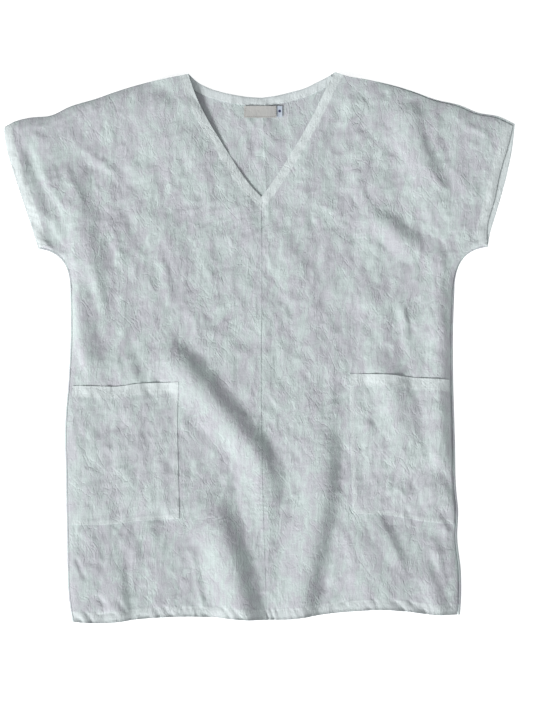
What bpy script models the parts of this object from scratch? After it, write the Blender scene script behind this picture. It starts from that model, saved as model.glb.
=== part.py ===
"""A linen tunic top laid flat: V neck, cut-on short sleeves, two patch pockets.

Metres, +Z up. The tunic lies on its back on z = 0 with its neck towards +Y.
The tables measure across from the centre line and up from the lowest hem, and
each object is placed so that the origin is under the middle of the tunic.
Sides are the wearer's own: right is at -X and left is at +X.
Every panel is a closed wall over a grid of rows (hem to shoulder) and columns
(centre seam to side), and its edges are straight lines bent by short tables.
"""
from collections import namedtuple

import bpy
import numpy as np

# Cloth, in metres
WALL = 0.0012
SEAM_GAP = 0.0003
FACING_WALL = 0.0010
LABEL_WALL = 0.0008
BAND_RISE = 0.0004
BAND_STEP = 0.0010
RIM_RISE = 0.0015
RIM_CLEARANCE = 0.0006

# Widths of the turned and bound edges
HEM_BAND = 0.0145
SLEEVE_BAND = 0.0130
NECK_BAND = 0.0140
POCKET_BAND = 0.0155
FACING_WIDTH = 0.0120
FACING_REACH = 0.93

# How the front lies on the back
PUFF = 0.0036
ROLL = 0.0085
SHOULDER_ROLL = 0.0120
HEM_ROLL = 0.0200
HEM_FALL = 0.75
NECK_LIFT = 0.0018
NECK_LIFT_NEAR = 0.030
NECK_LIFT_FAR = 0.075

# The tunic's middle, which goes to the origin: across and up
MIDDLE = (-0.0020, 0.4145)

# Places on the centre line: across and up
HEM_CENTRE = (0.0080, 0.0070)
V_POINT = (0.0005, 0.6405)
NECK_CENTRE = (0.0010, 0.7890)
FRONT_SEAM_BENDS = [(0.0000, 0.3300), (0.0010, 0.5000)]
BACK_SEAM_BENDS = [(0.0075, 0.3000), (0.0070, 0.6705)]

# Heights on the centre line of the rows that end at the top of the side seam
# and at the low corner of the sleeve, and where on the sleeve's hem, past that
# corner, the row of the V's point ends
SIDE_TOP_ROW = 0.5150
SLEEVE_ROW = 0.6000
V_ROW_ON_SLEEVE = 0.0300

# Corners of a panel, each across and up
Corners = namedtuple("Corners", "neck sleeve_top sleeve_low armpit side_top hem")

BACK_CORNERS = {
    "right": Corners((-0.1090, 0.8255), (-0.3850, 0.7455), (-0.3340, 0.5625),
                     (-0.2870, 0.5570), (-0.2865, 0.5050), (-0.2835, 0.0030)),
    "left": Corners((0.1110, 0.8280), (0.3810, 0.7500), (0.3400, 0.5650),
                    (0.2902, 0.5610), (0.2900, 0.5000), (0.2985, 0.0140)),
}

FRONT_CORNERS = {
    "right": Corners((-0.1090, 0.8245), (-0.3842, 0.7445), (-0.3325, 0.5655),
                     (-0.2838, 0.5602), (-0.2833, 0.5050), (-0.2803, 0.0035)),
    "left": Corners((0.1095, 0.8230), (0.3765, 0.7450), (0.3385, 0.5685),
                    (0.2893, 0.5622), (0.2868, 0.5000), (0.2935, 0.0145)),
}

# How far each edge stands out of the straight line between its two corners:
# part of the way along the edge, and distance outwards
Bulge = namedtuple("Bulge", "along out")

SIDE = {
    "right": [Bulge(0.07, 0.0045), Bulge(0.24, 0.0070), Bulge(0.42, 0.0080), Bulge(0.60, 0.0085),
              Bulge(0.72, 0.0035), Bulge(0.85, 0.0000)],
    "left": [Bulge(0.05, 0.0020), Bulge(0.13, 0.0025), Bulge(0.24, -0.0020), Bulge(0.32, 0.0000),
             Bulge(0.39, -0.0025), Bulge(0.53, -0.0030), Bulge(0.75, -0.0040), Bulge(0.88, -0.0030)],
}
SLEEVE_HEM = {
    "right": [Bulge(0.10, 0.0005), Bulge(0.40, 0.0032), Bulge(0.60, 0.0050), Bulge(0.80, 0.0056),
              Bulge(0.95, 0.0032)],
    "left": [Bulge(0.10, -0.0010), Bulge(0.28, 0.0014), Bulge(0.50, 0.0040), Bulge(0.68, 0.0047),
             Bulge(0.86, 0.0030)],
}
FRONT_SLEEVE_HEM = {
    "right": SLEEVE_HEM["right"],
    "left": [Bulge(0.13, -0.0050), Bulge(0.38, -0.0035), Bulge(0.62, -0.0035), Bulge(0.84, -0.0005)],
}
SHOULDER = {
    "right": [Bulge(0.13, 0.0030), Bulge(0.30, 0.0047), Bulge(0.40, 0.0040), Bulge(0.50, 0.0023),
              Bulge(0.65, 0.0017), Bulge(0.745, -0.0030), Bulge(0.87, 0.0030), Bulge(0.94, 0.0035)],
    "left": [Bulge(0.07, -0.0005), Bulge(0.16, 0.0020), Bulge(0.32, 0.0050), Bulge(0.43, 0.0045),
             Bulge(0.55, 0.0022), Bulge(0.69, 0.0040), Bulge(0.79, 0.0010), Bulge(0.91, 0.0040)],
}
HEM = {
    "right": [Bulge(0.12, -0.0015), Bulge(0.28, -0.0050), Bulge(0.50, -0.0057), Bulge(0.65, -0.0036),
              Bulge(0.82, 0.0017), Bulge(0.90, 0.0024)],
    "left": [Bulge(0.10, -0.0005), Bulge(0.20, -0.0030), Bulge(0.42, -0.0090), Bulge(0.60, -0.0110),
             Bulge(0.75, -0.0065), Bulge(0.88, -0.0010)],
}
NECK_SCOOP = {
    "right": [Bulge(0.20, -0.0058), Bulge(0.36, -0.0088), Bulge(0.55, -0.0109), Bulge(0.70, -0.0108),
              Bulge(0.85, -0.0078)],
    "left": [Bulge(0.20, -0.0045), Bulge(0.40, -0.0068), Bulge(0.55, -0.0080), Bulge(0.72, -0.0060),
             Bulge(0.90, -0.0030)],
}
V_EDGE = {
    "right": [Bulge(0.07, 0.0038), Bulge(0.22, 0.0076), Bulge(0.50, 0.0097), Bulge(0.67, 0.0100),
              Bulge(0.81, 0.0078), Bulge(0.94, 0.0030)],
    "left": [Bulge(0.06, 0.0018), Bulge(0.16, 0.0034), Bulge(0.37, 0.0052), Bulge(0.52, 0.0055),
             Bulge(0.66, 0.0046), Bulge(0.90, 0.0008)],
}

# Patch pockets: heights of the lower and upper edge at the centre side and at
# the side seam, the distance of the inner edge from the centre line, and the
# distance that the outer edge keeps to the side seam
Pocket = namedtuple("Pocket", "low_inner low_outer top_inner top_outer across side_margin")

POCKETS = {
    "right": Pocket(0.1545, 0.1500, 0.3590, 0.3570, 0.1215, 0.0020),
    "left": Pocket(0.1630, 0.1500, 0.3700, 0.3660, 0.1335, 0.0020),
}

# Largest folds of the front: the crest's points (across, up), its height, how
# wide it falls away to the wearer's right and to the wearer's left, and how
# much of its length it takes to rise at the start and to die away at the end
Fold = namedtuple("Fold", "crest height right_width left_width rise die")

FOLDS = [
    Fold([(-0.144, 0.411), (-0.099, 0.369), (-0.054, 0.314), (-0.022, 0.261), (0.002, 0.216),
          (0.008, 0.164), (0.004, 0.100)], 0.0085, 0.042, 0.022, 0.30, 0.35),
    Fold([(-0.074, 0.215), (-0.060, 0.141), (-0.040, 0.074), (-0.024, 0.000)], 0.0105, 0.055, 0.030,
         0.60, 0.00),
    Fold([(0.090, 0.370), (0.094, 0.276), (0.091, 0.201), (0.078, 0.126), (0.063, 0.051),
          (0.058, 0.000)], 0.0115, 0.048, 0.021, 0.55, 0.00),
    Fold([(-0.266, 0.440), (-0.247, 0.362), (-0.225, 0.300)], 0.0030, 0.018, 0.024, 0.40, 0.60),
    Fold([(0.154, 0.414), (0.187, 0.369), (0.214, 0.285), (0.225, 0.200)], 0.0036, 0.030, 0.026,
         0.30, 0.50),
    Fold([(0.146, 0.620), (0.186, 0.598), (0.240, 0.552)], 0.0036, 0.026, 0.022, 0.40, 0.40),
    Fold([(0.222, 0.790), (0.232, 0.726), (0.255, 0.672), (0.262, 0.600)], 0.0045, 0.045, 0.024,
         0.15, 0.60),
    Fold([(-0.285, 0.700), (-0.272, 0.614), (-0.252, 0.546), (-0.246, 0.470)], 0.0040, 0.034, 0.026,
         0.40, 0.60),
    Fold([(-0.326, 0.614), (-0.310, 0.580), (-0.295, 0.552)], -0.0022, 0.014, 0.016, 0.30, 0.20),
    Fold([(0.268, 0.520), (0.272, 0.360), (0.270, 0.240), (0.280, 0.160)], 0.0030, 0.032, 0.024,
         0.30, 0.30),
    Fold([(-0.216, 0.115), (-0.212, 0.060), (-0.208, 0.000)], 0.0036, 0.034, 0.016, 0.50, 0.00),
    Fold([(0.238, 0.105), (0.262, 0.040), (0.270, 0.000)], 0.0034, 0.024, 0.018, 0.40, 0.10),
    Fold([(0.184, 0.140), (0.208, 0.088), (0.222, 0.060)], 0.0030, 0.020, 0.010, 0.40, 0.50),
    Fold([(-0.106, 0.815), (-0.094, 0.778), (-0.074, 0.744), (-0.050, 0.707)], 0.0050, 0.040, 0.020,
         0.20, 0.60),
    Fold([(0.104, 0.815), (0.088, 0.778), (0.064, 0.735)], 0.0024, 0.016, 0.030, 0.20, 0.60),
    Fold([(-0.180, 0.800), (-0.160, 0.740), (-0.150, 0.660)], 0.0022, 0.045, 0.040, 0.30, 0.50),
    Fold([(-0.165, 0.640), (-0.138, 0.585), (-0.120, 0.520)], 0.0020, 0.030, 0.020, 0.40, 0.50),
    Fold([(0.020, 0.600), (0.052, 0.520), (0.060, 0.440)], 0.0018, 0.040, 0.030, 0.40, 0.50),
]

# Label and size tab sewn under the back neck facing
LABEL_SIZE = (0.0485, 0.0183)
LABEL_CORNER = (-0.0255, 0.7588)
LABEL_TUCK = 0.0006
TAB_SIZE = (0.0085, 0.0172)
TAB_CORNER = (0.0234, 0.7599)
LABEL_CURL = 0.0014

# Surfaces one above the other
BACK_TOP = WALL
FRONT_BASE = BACK_TOP + SEAM_GAP
FACING_BASE = BACK_TOP + SEAM_GAP
LABEL_BASE = BACK_TOP + SEAM_GAP

# Colour as linear red, green and blue, and roughness
Finish = namedtuple("Finish", "colour roughness")
LINEN = Finish((0.52, 0.57, 0.58), 0.90)
FACING_LINEN = Finish((0.64, 0.70, 0.71), 0.88)
LABEL_CLOTH = Finish((0.50, 0.48, 0.44), 0.80)
TAB_CLOTH = Finish((0.42, 0.50, 0.62), 0.80)

# Rows and columns of the walls
FrontRows = namedtuple("FrontRows", "to_pocket pocket to_side_top underarm to_v_point neck")
BackRows = namedtuple("BackRows", "side underarm sleeve")
FRONT_ROWS = FrontRows(7, 8, 6, 5, 2, 9)
BACK_ROWS = BackRows(28, 8, 9)
COLUMNS_TO_POCKET = 10
COLUMNS_TO_SLEEVE_BAND = 8
NECK_COLUMNS = 8
SHOULDER_COLUMNS = 17
TAG_ROWS = 6
TAG_COLUMNS = 5
SHARP_ANGLE = np.radians(40.0)

# Points along each edge's curve and along each fold's crest
DENSE = 160
CREST_POINTS = 90

# Share of a panel's height over which the spacing of its rows is measured
PROBE = 0.02


def smooth_curve(points, count=DENSE):
    """Points spaced evenly along a smooth curve through the given ones."""
    points = np.array(points, float)
    if len(points) == 2:
        knots = np.array([0.0, 1.0])
        grid = np.linspace(0.0, 1.0, count)
        return np.column_stack([np.interp(grid, knots, points[:, axis]) for axis in (0, 1)])
    spans = np.linalg.norm(np.diff(points, axis=0), axis=1)
    knots = np.concatenate([[0.0], np.cumsum(spans)])
    slopes = np.gradient(points, knots, axis=0)
    grid = np.linspace(0.0, knots[-1], count)
    piece = np.clip(np.searchsorted(knots, grid, side="right") - 1, 0, len(spans) - 1)
    span = spans[piece]
    t = ((grid - knots[piece]) / span)[:, None]
    span = span[:, None]
    start_share = 2 * t**3 - 3 * t**2 + 1
    end_share = 3 * t**2 - 2 * t**3
    start_pull = (t**3 - 2 * t**2 + t) * span
    end_pull = (t**3 - t**2) * span
    return (start_share * points[piece] + end_share * points[piece + 1]
            + start_pull * slopes[piece] + end_pull * slopes[piece + 1])


def bent_edge(start, end, bulges, outward):
    """A straight edge bent by its table; outward is +1 to the left of travel."""
    start = np.array(start)
    end = np.array(end)
    run = (end - start) / np.linalg.norm(end - start)
    normal = outward * np.array([-run[1], run[0]])
    middle = [start + (end - start) * row.along + normal * row.out for row in bulges]
    return smooth_curve([start, *middle, end])


def armpit_curve(corners):
    """The round underarm, a quadratic curve pulled towards the armpit corner."""
    t = np.linspace(0.0, 1.0, DENSE)[:, None]
    start = np.array(corners.side_top)
    pull = np.array(corners.armpit)
    end = np.array(corners.sleeve_low)
    return (1 - t) ** 2 * start + 2 * t * (1 - t) * pull + t**2 * end


class Edge:
    """A chain of curves, read by the distance along it."""

    def __init__(self, *curves):
        self.points = np.concatenate([curves[0]] + [curve[1:] for curve in curves[1:]])
        steps = np.linalg.norm(np.diff(self.points, axis=0), axis=1)
        self.distance = np.concatenate([[0.0], np.cumsum(steps)])
        lengths = [np.linalg.norm(np.diff(curve, axis=0), axis=1).sum() for curve in curves]
        self.joints = np.concatenate([[0.0], np.cumsum(lengths)])
        self.length = self.distance[-1]

    def at(self, distance):
        across = np.interp(distance, self.distance, self.points[:, 0])
        up = np.interp(distance, self.distance, self.points[:, 1])
        return np.stack([across, up], axis=-1)

    def where_up(self, up):
        """Distance along an edge that climbs all the way, at a height."""
        return np.interp(up, self.points[:, 1], self.distance)


class Panel:
    """A four-sided patch: inner edge, outer edge, hem and top."""

    def __init__(self, inner, outer, hem, top, stations):
        self.inner = inner
        self.outer = outer
        self.hem = hem
        self.top = top
        self.stations = stations
        self.marks = np.array([row.inner for row in stations]) / inner.length

    def sides(self, v):
        inner_run = np.interp(v, self.marks, [row.inner for row in self.stations])
        outer_run = np.interp(v, self.marks, [row.outer for row in self.stations])
        return self.inner.at(inner_run), self.outer.at(outer_run)

    def at(self, u, v):
        inner, outer = self.sides(v)
        hem = self.hem.at(u * self.hem.length)
        top = self.top.at(u * self.top.length)
        u = u[..., None]
        v = v[..., None]
        flat = ((1 - u) * (1 - v) * self.hem.points[0] + u * (1 - v) * self.hem.points[-1]
                + (1 - u) * v * self.top.points[0] + u * v * self.top.points[-1])
        return (1 - u) * inner + u * outer + (1 - v) * hem + v * top - flat


# A row of the grid: its height share from hem to top, or a distance from one end
Line = namedtuple("Line", "share from_start from_end")


def share(value):
    return Line(value, 0.0, 0.0)


def past(distance):
    return Line(0.0, distance, 0.0)


def before(distance):
    return Line(1.0, 0.0, distance)


Station = namedtuple("Station", "inner outer")


def side_sign(side):
    return -1.0 if side == "right" else 1.0


def outer_edge(side, corners, sleeve_bulges):
    """From the hem's corner up the side, round the underarm, up the sleeve hem."""
    out = -side_sign(side)
    return Edge(bent_edge(corners.hem, corners.side_top, SIDE[side], out),
                armpit_curve(corners),
                bent_edge(corners.sleeve_low, corners.sleeve_top, sleeve_bulges, out))


def hem_edge(side, corner):
    centre = (HEM_CENTRE[0] + side_sign(side) * SEAM_GAP / 2, HEM_CENTRE[1])
    return Edge(bent_edge(centre, corner, HEM[side], -side_sign(side)))


def shifted(points, side):
    """Centre seam points, moved half a seam gap to one side."""
    return [(across + side_sign(side) * SEAM_GAP / 2, up) for across, up in points]


def front_panel(side):
    corners = FRONT_CORNERS[side]
    sign = side_sign(side)
    seam = shifted([HEM_CENTRE, *FRONT_SEAM_BENDS, V_POINT], side)
    v_edge = bent_edge(seam[-1], corners.neck, V_EDGE[side], -sign)
    inner = Edge(smooth_curve(seam), v_edge)
    outer = outer_edge(side, corners, FRONT_SLEEVE_HEM[side])
    shoulder = Edge(bent_edge(corners.neck, corners.sleeve_top, SHOULDER[side], sign))
    pocket = POCKETS[side]
    stations = [
        Station(0.0, 0.0),
        Station(inner.where_up(pocket.low_inner), outer.where_up(pocket.low_outer)),
        Station(inner.where_up(pocket.top_inner), outer.where_up(pocket.top_outer)),
        Station(inner.where_up(SIDE_TOP_ROW), outer.joints[1]),
        Station(inner.where_up(SLEEVE_ROW), outer.joints[2]),
        Station(inner.joints[1], outer.joints[2] + V_ROW_ON_SLEEVE),
        Station(inner.length, outer.length),
    ]
    return Panel(inner, outer, hem_edge(side, corners.hem), shoulder, stations)


def back_panel(side):
    corners = BACK_CORNERS[side]
    sign = side_sign(side)
    seam = shifted([HEM_CENTRE, *BACK_SEAM_BENDS, NECK_CENTRE], side)
    inner = Edge(smooth_curve(seam))
    outer = outer_edge(side, corners, SLEEVE_HEM[side])
    scoop = bent_edge(seam[-1], corners.neck, NECK_SCOOP[side], sign)
    shoulder = bent_edge(corners.neck, corners.sleeve_top, SHOULDER[side], sign)
    stations = [
        Station(0.0, 0.0),
        Station(inner.where_up(SIDE_TOP_ROW), outer.joints[1]),
        Station(inner.where_up(SLEEVE_ROW), outer.joints[2]),
        Station(inner.length, outer.length),
    ]
    return Panel(inner, outer, hem_edge(side, corners.hem), Edge(scoop, shoulder), stations)


def grid_of(panel, rows, columns):
    """The panel's shares u and v where its rows and columns cross."""
    v_base = np.array([row.share for row in rows])
    u_base = np.array([column.share for column in columns])
    inner, outer = panel.sides(v_base)
    widths = np.linalg.norm(outer - inner, axis=1)[:, None]
    u_start = np.array([column.from_start for column in columns])[None, :]
    u_end = np.array([column.from_end for column in columns])[None, :]
    u = u_base[None, :] + u_start / widths - u_end / widths
    hem = np.zeros(len(columns))
    top = np.ones(len(columns))
    low_run = panel.at(u_base, hem + PROBE) - panel.at(u_base, hem)
    top_run = panel.at(u_base, top) - panel.at(u_base, top - PROBE)
    low_speed = np.linalg.norm(low_run, axis=1)[None, :] / PROBE
    top_speed = np.linalg.norm(top_run, axis=1)[None, :] / PROBE
    v_start = np.array([row.from_start for row in rows])[:, None]
    v_end = np.array([row.from_end for row in rows])[:, None]
    v = v_base[:, None] + v_start / low_speed - v_end / top_speed
    return u, v


def smooth_step(value):
    value = np.clip(value, 0.0, 1.0)
    return value * value * (3 - 2 * value)


def fold_height(fold, across, up):
    """Height of one fold over the points, a soft ridge along its crest."""
    crest = smooth_curve(fold.crest, CREST_POINTS)
    heading = np.gradient(crest, axis=0)
    offset_across = across[..., None] - crest[:, 0]
    offset_up = up[..., None] - crest[:, 1]
    distance = np.hypot(offset_across, offset_up)
    nearest = distance.argmin(axis=-1)
    reach = np.take_along_axis(distance, nearest[..., None], axis=-1)[..., 0]
    turn = (heading[nearest, 0] * np.take_along_axis(offset_up, nearest[..., None], -1)[..., 0]
            - heading[nearest, 1] * np.take_along_axis(offset_across, nearest[..., None], -1)[..., 0])
    to_left = turn > 0
    width = np.where(to_left, fold.left_width, fold.right_width)
    profile = 0.5 + 0.5 * np.cos(np.pi * np.clip(reach / width, 0.0, 1.0))
    along = nearest / (len(crest) - 1)
    rise = smooth_step(along / fold.rise) if fold.rise else 1.0
    die = smooth_step((1 - along) / fold.die) if fold.die else 1.0
    return fold.height * profile * rise * die


def neck_lift(across, up):
    """The front stands clear of the facing round both neck points."""
    lift = np.zeros_like(across)
    for side in ("right", "left"):
        point = FRONT_CORNERS[side].neck
        reach = np.hypot(across - point[0], up - point[1])
        fall = (NECK_LIFT_FAR - reach) / (NECK_LIFT_FAR - NECK_LIFT_NEAR)
        lift = np.maximum(lift, NECK_LIFT * smooth_step(fall))
    return lift


def front_height(panel, u, v):
    """Clear height between the back and the front, above the seam gap."""
    points = panel.at(u, v)
    across = points[..., 0]
    up = points[..., 1]
    inner, outer = panel.sides(v)
    to_side = (1 - u) * np.linalg.norm(outer - inner, axis=-1)
    to_top = np.linalg.norm(panel.at(u, np.ones_like(v)) - points, axis=-1)
    to_hem = np.linalg.norm(panel.at(u, np.zeros_like(v)) - points, axis=-1)
    edge = (1 - np.exp(-to_side / ROLL)) * (1 - np.exp(-to_top / SHOULDER_ROLL))
    puff = PUFF * (1 - HEM_FALL * np.exp(-to_hem / HEM_ROLL))
    folds = sum(fold_height(fold, across, up) for fold in FOLDS)
    return np.maximum(edge * np.maximum(puff + folds, 0.0), neck_lift(across, up))


def slope_share(points):
    """Upright thickness that gives a wall its true thickness on a slope."""
    along_row = np.gradient(points, axis=1)
    along_column = np.gradient(points, axis=0)
    normal = np.cross(along_row, along_column)
    return np.linalg.norm(normal, axis=-1) / np.abs(normal[..., 2])


def clear_scene():
    for item in list(bpy.data.objects):
        bpy.data.objects.remove(item, do_unlink=True)


def finish_material(name, finish):
    material = bpy.data.materials.new(name)
    material.use_nodes = True
    shader = material.node_tree.nodes["Principled BSDF"]
    shader.inputs["Base Color"].default_value = (*finish.colour, 1.0)
    shader.inputs["Roughness"].default_value = finish.roughness
    shader.inputs["Metallic"].default_value = 0.0
    return material


def wall_object(name, low, high, finish):
    """A closed wall between two grids of points with the same rows and columns."""
    rows, columns = low.shape[:2]
    vertices = np.concatenate([low.reshape(-1, 3), high.reshape(-1, 3)])
    lift = rows * columns
    faces = []
    for row in range(rows - 1):
        for column in range(columns - 1):
            a = row * columns + column
            b = a + 1
            c = a + columns + 1
            d = a + columns
            faces += [(a, c, b), (a, d, c)]
            faces += [(a + lift, b + lift, c + lift), (a + lift, c + lift, d + lift)]
    rim = [column for column in range(columns)]
    rim += [row * columns + columns - 1 for row in range(1, rows)]
    rim += [(rows - 1) * columns + column for column in range(columns - 2, -1, -1)]
    rim += [row * columns for row in range(rows - 2, 0, -1)]
    for here, there in zip(rim, rim[1:] + rim[:1]):
        faces += [(here, there, there + lift), (here, there + lift, here + lift)]
    corner = low[0, 0]
    turn = np.cross(low[0, 1] - corner, low[1, 0] - corner)[2]
    if turn < 0:
        faces = [face[::-1] for face in faces]
    mesh = bpy.data.meshes.new(name)
    mesh.from_pydata([tuple(vertex) for vertex in vertices.tolist()], [], faces)
    mesh.materials.append(finish_material(name, finish))
    mesh.shade_smooth()
    mesh.set_sharp_from_angle(angle=SHARP_ANGLE)
    item = bpy.data.objects.new(name, mesh)
    item.location = (-MIDDLE[0], -MIDDLE[1], 0.0)
    bpy.context.scene.collection.objects.link(item)


def stretch(first, last, count):
    """Evenly spaced shares, the first left out and the last kept."""
    return [share(value) for value in np.linspace(first, last, count + 1)[1:]]


def front_rows(panel):
    """Rows of the front, with the pocket's edges and the hem's band among them."""
    _, low, top, side_top, sleeve_low, v_point, _ = panel.marks
    band = POCKET_BAND / panel.inner.length
    hem_share = (HEM_BAND + BAND_STEP) / panel.inner.length
    counts = FRONT_ROWS
    rows = [share(0.0), past(HEM_BAND / 2), past(HEM_BAND), past(HEM_BAND + BAND_STEP)]
    rows += stretch(hem_share, low, counts.to_pocket)
    pocket_low = len(rows) - 1
    rows += stretch(low, top - band, counts.pocket)
    rows += [share(top)]
    pocket_top = len(rows) - 1
    rows += stretch(top, side_top, counts.to_side_top)
    rows += stretch(side_top, sleeve_low, counts.underarm)
    rows += stretch(sleeve_low, v_point, counts.to_v_point)
    v_row = len(rows) - 1
    rows += stretch(v_point, 1.0, counts.neck)
    return rows, pocket_low, pocket_top, v_row


def front_columns(side):
    """Columns of the front: neck band, pocket's edges and sleeve band among them."""
    pocket = POCKETS[side]
    reach = abs(FRONT_CORNERS[side].side_top[0])
    pocket_share = pocket.across / reach
    band_share = (NECK_BAND + BAND_STEP) / reach
    sleeve_share = 1 - (SLEEVE_BAND + BAND_STEP) / reach
    columns = [share(0.0), past(NECK_BAND), past(NECK_BAND + BAND_STEP)]
    columns += stretch(band_share, pocket_share, COLUMNS_TO_POCKET)
    pocket_column = len(columns) - 1
    columns += stretch(pocket_share, sleeve_share, COLUMNS_TO_SLEEVE_BAND)[:-1]
    columns += [before(SLEEVE_BAND + BAND_STEP), before(SLEEVE_BAND), before(SLEEVE_BAND / 2),
                before(pocket.side_margin), share(1.0)]
    return columns, pocket_column


def build_front(side):
    panel = front_panel(side)
    rows, pocket_low, pocket_top, v_row = front_rows(panel)
    columns, pocket_column = front_columns(side)
    u, v = grid_of(panel, rows, columns)
    plan = panel.at(u, v)
    low = np.dstack([plan, FRONT_BASE + front_height(panel, u, v)])
    high = low.copy()
    high[..., 2] += WALL * slope_share(low)
    plain_top = high.copy()
    in_hem = np.array([row.share == 0.0 and row.from_start <= HEM_BAND for row in rows])
    in_sleeve = np.array([column.share == 1.0 and column.from_end <= SLEEVE_BAND for column in columns])
    in_neck = np.array([column.share == 0.0 and column.from_start <= NECK_BAND for column in columns])
    sleeve_low = panel.marks[4]
    sleeve_row = np.array([row.share >= sleeve_low for row in rows])
    neck_row = np.arange(len(rows)) >= v_row
    raised = in_hem[:, None] | (in_sleeve[None, :] & sleeve_row[:, None])
    raised = raised | (in_neck[None, :] & neck_row[:, None])
    high[..., 2] += BAND_RISE * raised
    wall_object("front_" + side, low, high, LINEN)
    build_pocket(side, plain_top, pocket_low, pocket_top, pocket_column)


def build_pocket(side, front_top, low_row, top_row, inner_column):
    """A patch pocket made from the front's own points, moved out."""
    patch = front_top[low_row:top_row + 1, inner_column:-1].copy()
    low = patch.copy()
    low[..., 2] += SEAM_GAP
    high = low.copy()
    high[..., 2] += WALL * slope_share(low)
    high[-2:, :, 2] += BAND_RISE
    wall_object("pocket_" + side, low, high, LINEN)


def build_back(side):
    """A back half, flat where it rests, with a rim rolled up to meet the front."""
    panel = back_panel(side)
    front = FRONT_CORNERS[side]
    back = BACK_CORNERS[side]
    rim = abs(back.side_top[0] - front.side_top[0]) - RIM_CLEARANCE
    shoulder_rim = max(back.neck[1] - front.neck[1] - 2 * RIM_CLEARANCE, SEAM_GAP)
    _, side_top, sleeve_low, _ = panel.marks
    rows = [share(0.0)] + stretch(0.0, side_top, BACK_ROWS.side)
    rows += stretch(side_top, sleeve_low, BACK_ROWS.underarm)
    rows += stretch(sleeve_low, 1.0, BACK_ROWS.sleeve)[:-1]
    rows += [before(shoulder_rim + SEAM_GAP), before(shoulder_rim), share(1.0)]
    neck_share = panel.top.joints[1] / panel.top.length
    columns = [share(0.0)] + stretch(0.0, neck_share, NECK_COLUMNS)
    neck_column = len(columns) - 1
    columns += stretch(neck_share, 1.0, SHOULDER_COLUMNS)[:-1]
    columns += [before(rim + SEAM_GAP), before(rim), share(1.0)]
    u, v = grid_of(panel, rows, columns)
    plan = panel.at(u, v)
    low = np.dstack([plan, np.zeros(plan.shape[:2])])
    high = low.copy()
    high[..., 2] = BACK_TOP
    side_rim = np.array([column.share == 1.0 and column.from_end <= rim for column in columns])
    side_row = np.array([row.share <= side_top for row in rows])
    top_rim = np.array([row.share == 1.0 and row.from_end <= shoulder_rim for row in rows])
    top_column = np.arange(len(columns)) > neck_column
    raised = side_rim[None, :] & side_row[:, None]
    if side == "left":
        raised = raised | (top_rim[:, None] & top_column[None, :])
    high[..., 2] += RIM_RISE * raised
    wall_object("back_" + side, low, high, LINEN)


def build_facing():
    """The inside facing along the back neck, one strip across both halves."""
    strips = []
    for side in ("right", "left"):
        panel = back_panel(side)
        scoop = panel.top.at(np.linspace(0.0, FACING_REACH, NECK_COLUMNS + 1) * panel.top.joints[1])
        tangent = np.gradient(scoop, axis=0)
        tangent /= np.linalg.norm(tangent, axis=1)[:, None]
        inward = side_sign(side) * np.column_stack([tangent[:, 1], -tangent[:, 0]])
        lower = scoop + inward * FACING_WIDTH
        strips.append(np.stack([lower, scoop]))
    right = strips[0][:, ::-1]
    left = strips[1][:, 1:]
    plan = np.concatenate([right, left], axis=1)
    low = np.dstack([plan, np.full(plan.shape[:2], FACING_BASE)])
    high = low.copy()
    high[..., 2] += FACING_WALL
    wall_object("neck_facing", low, high, FACING_LINEN)


def build_tag(name, corner, size, finish):
    """A flat woven tag whose loose lower edge curls up a little."""
    across = np.linspace(corner[0], corner[0] + size[0], TAG_COLUMNS)
    up = np.linspace(corner[1], corner[1] + size[1] - LABEL_TUCK, TAG_ROWS)
    grid_across, grid_up = np.meshgrid(across, up)
    loose = 1 - (grid_up - corner[1]) / size[1]
    base = LABEL_BASE + LABEL_CURL * np.clip(loose, 0.0, 1.0) ** 2
    low = np.dstack([grid_across, grid_up, base])
    high = low.copy()
    high[..., 2] += LABEL_WALL
    wall_object(name, low, high, finish)


def build_tunic():
    clear_scene()
    for side in ("right", "left"):
        build_back(side)
        build_front(side)
    build_facing()
    build_tag("label", LABEL_CORNER, LABEL_SIZE, LABEL_CLOTH)
    build_tag("size_tab", TAB_CORNER, TAB_SIZE, TAB_CLOTH)


build_tunic()
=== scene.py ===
import math
from collections import namedtuple

import bpy
import numpy as np
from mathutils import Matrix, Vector

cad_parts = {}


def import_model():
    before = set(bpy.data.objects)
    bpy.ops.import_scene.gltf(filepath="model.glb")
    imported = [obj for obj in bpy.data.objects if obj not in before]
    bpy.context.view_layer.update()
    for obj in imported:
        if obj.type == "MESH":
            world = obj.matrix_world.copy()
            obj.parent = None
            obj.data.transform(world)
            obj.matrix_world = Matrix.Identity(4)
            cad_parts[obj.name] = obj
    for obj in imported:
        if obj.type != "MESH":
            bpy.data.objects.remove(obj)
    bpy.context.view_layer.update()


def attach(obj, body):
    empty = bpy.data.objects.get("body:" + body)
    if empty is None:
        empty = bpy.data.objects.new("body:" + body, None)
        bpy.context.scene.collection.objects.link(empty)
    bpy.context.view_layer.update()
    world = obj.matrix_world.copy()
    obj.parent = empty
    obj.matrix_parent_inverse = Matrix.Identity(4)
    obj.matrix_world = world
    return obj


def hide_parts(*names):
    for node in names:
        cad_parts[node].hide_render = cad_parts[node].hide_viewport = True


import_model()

# A pale linen tunic top laid flat on its back, with its neck towards +Y.
# The tables measure across from the centre line and up from the lowest hem, in
# metres, and MIDDLE is the point of them that lies on the origin.
# Sides are the wearer's own: right is at -X and left is at +X.

# Cloth
CAD_WALL = 0.0012
CLOTH = 0.0008
SEAM_GAP = 0.0
LAYER_GAP = 0.0002
BAND_RISE = 0.0004
BAND_STEP = 0.0028
FRONT_BASE = 0.0015
BACK_TOP = 0.0012

# Widths of the turned and bound edges
HEM_BAND = 0.0145
SLEEVE_BAND = 0.0130
NECK_BAND = 0.0118
POCKET_BAND = 0.0155
FACING_WIDTH = 0.0130
FACING_REACH = 0.93

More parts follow.
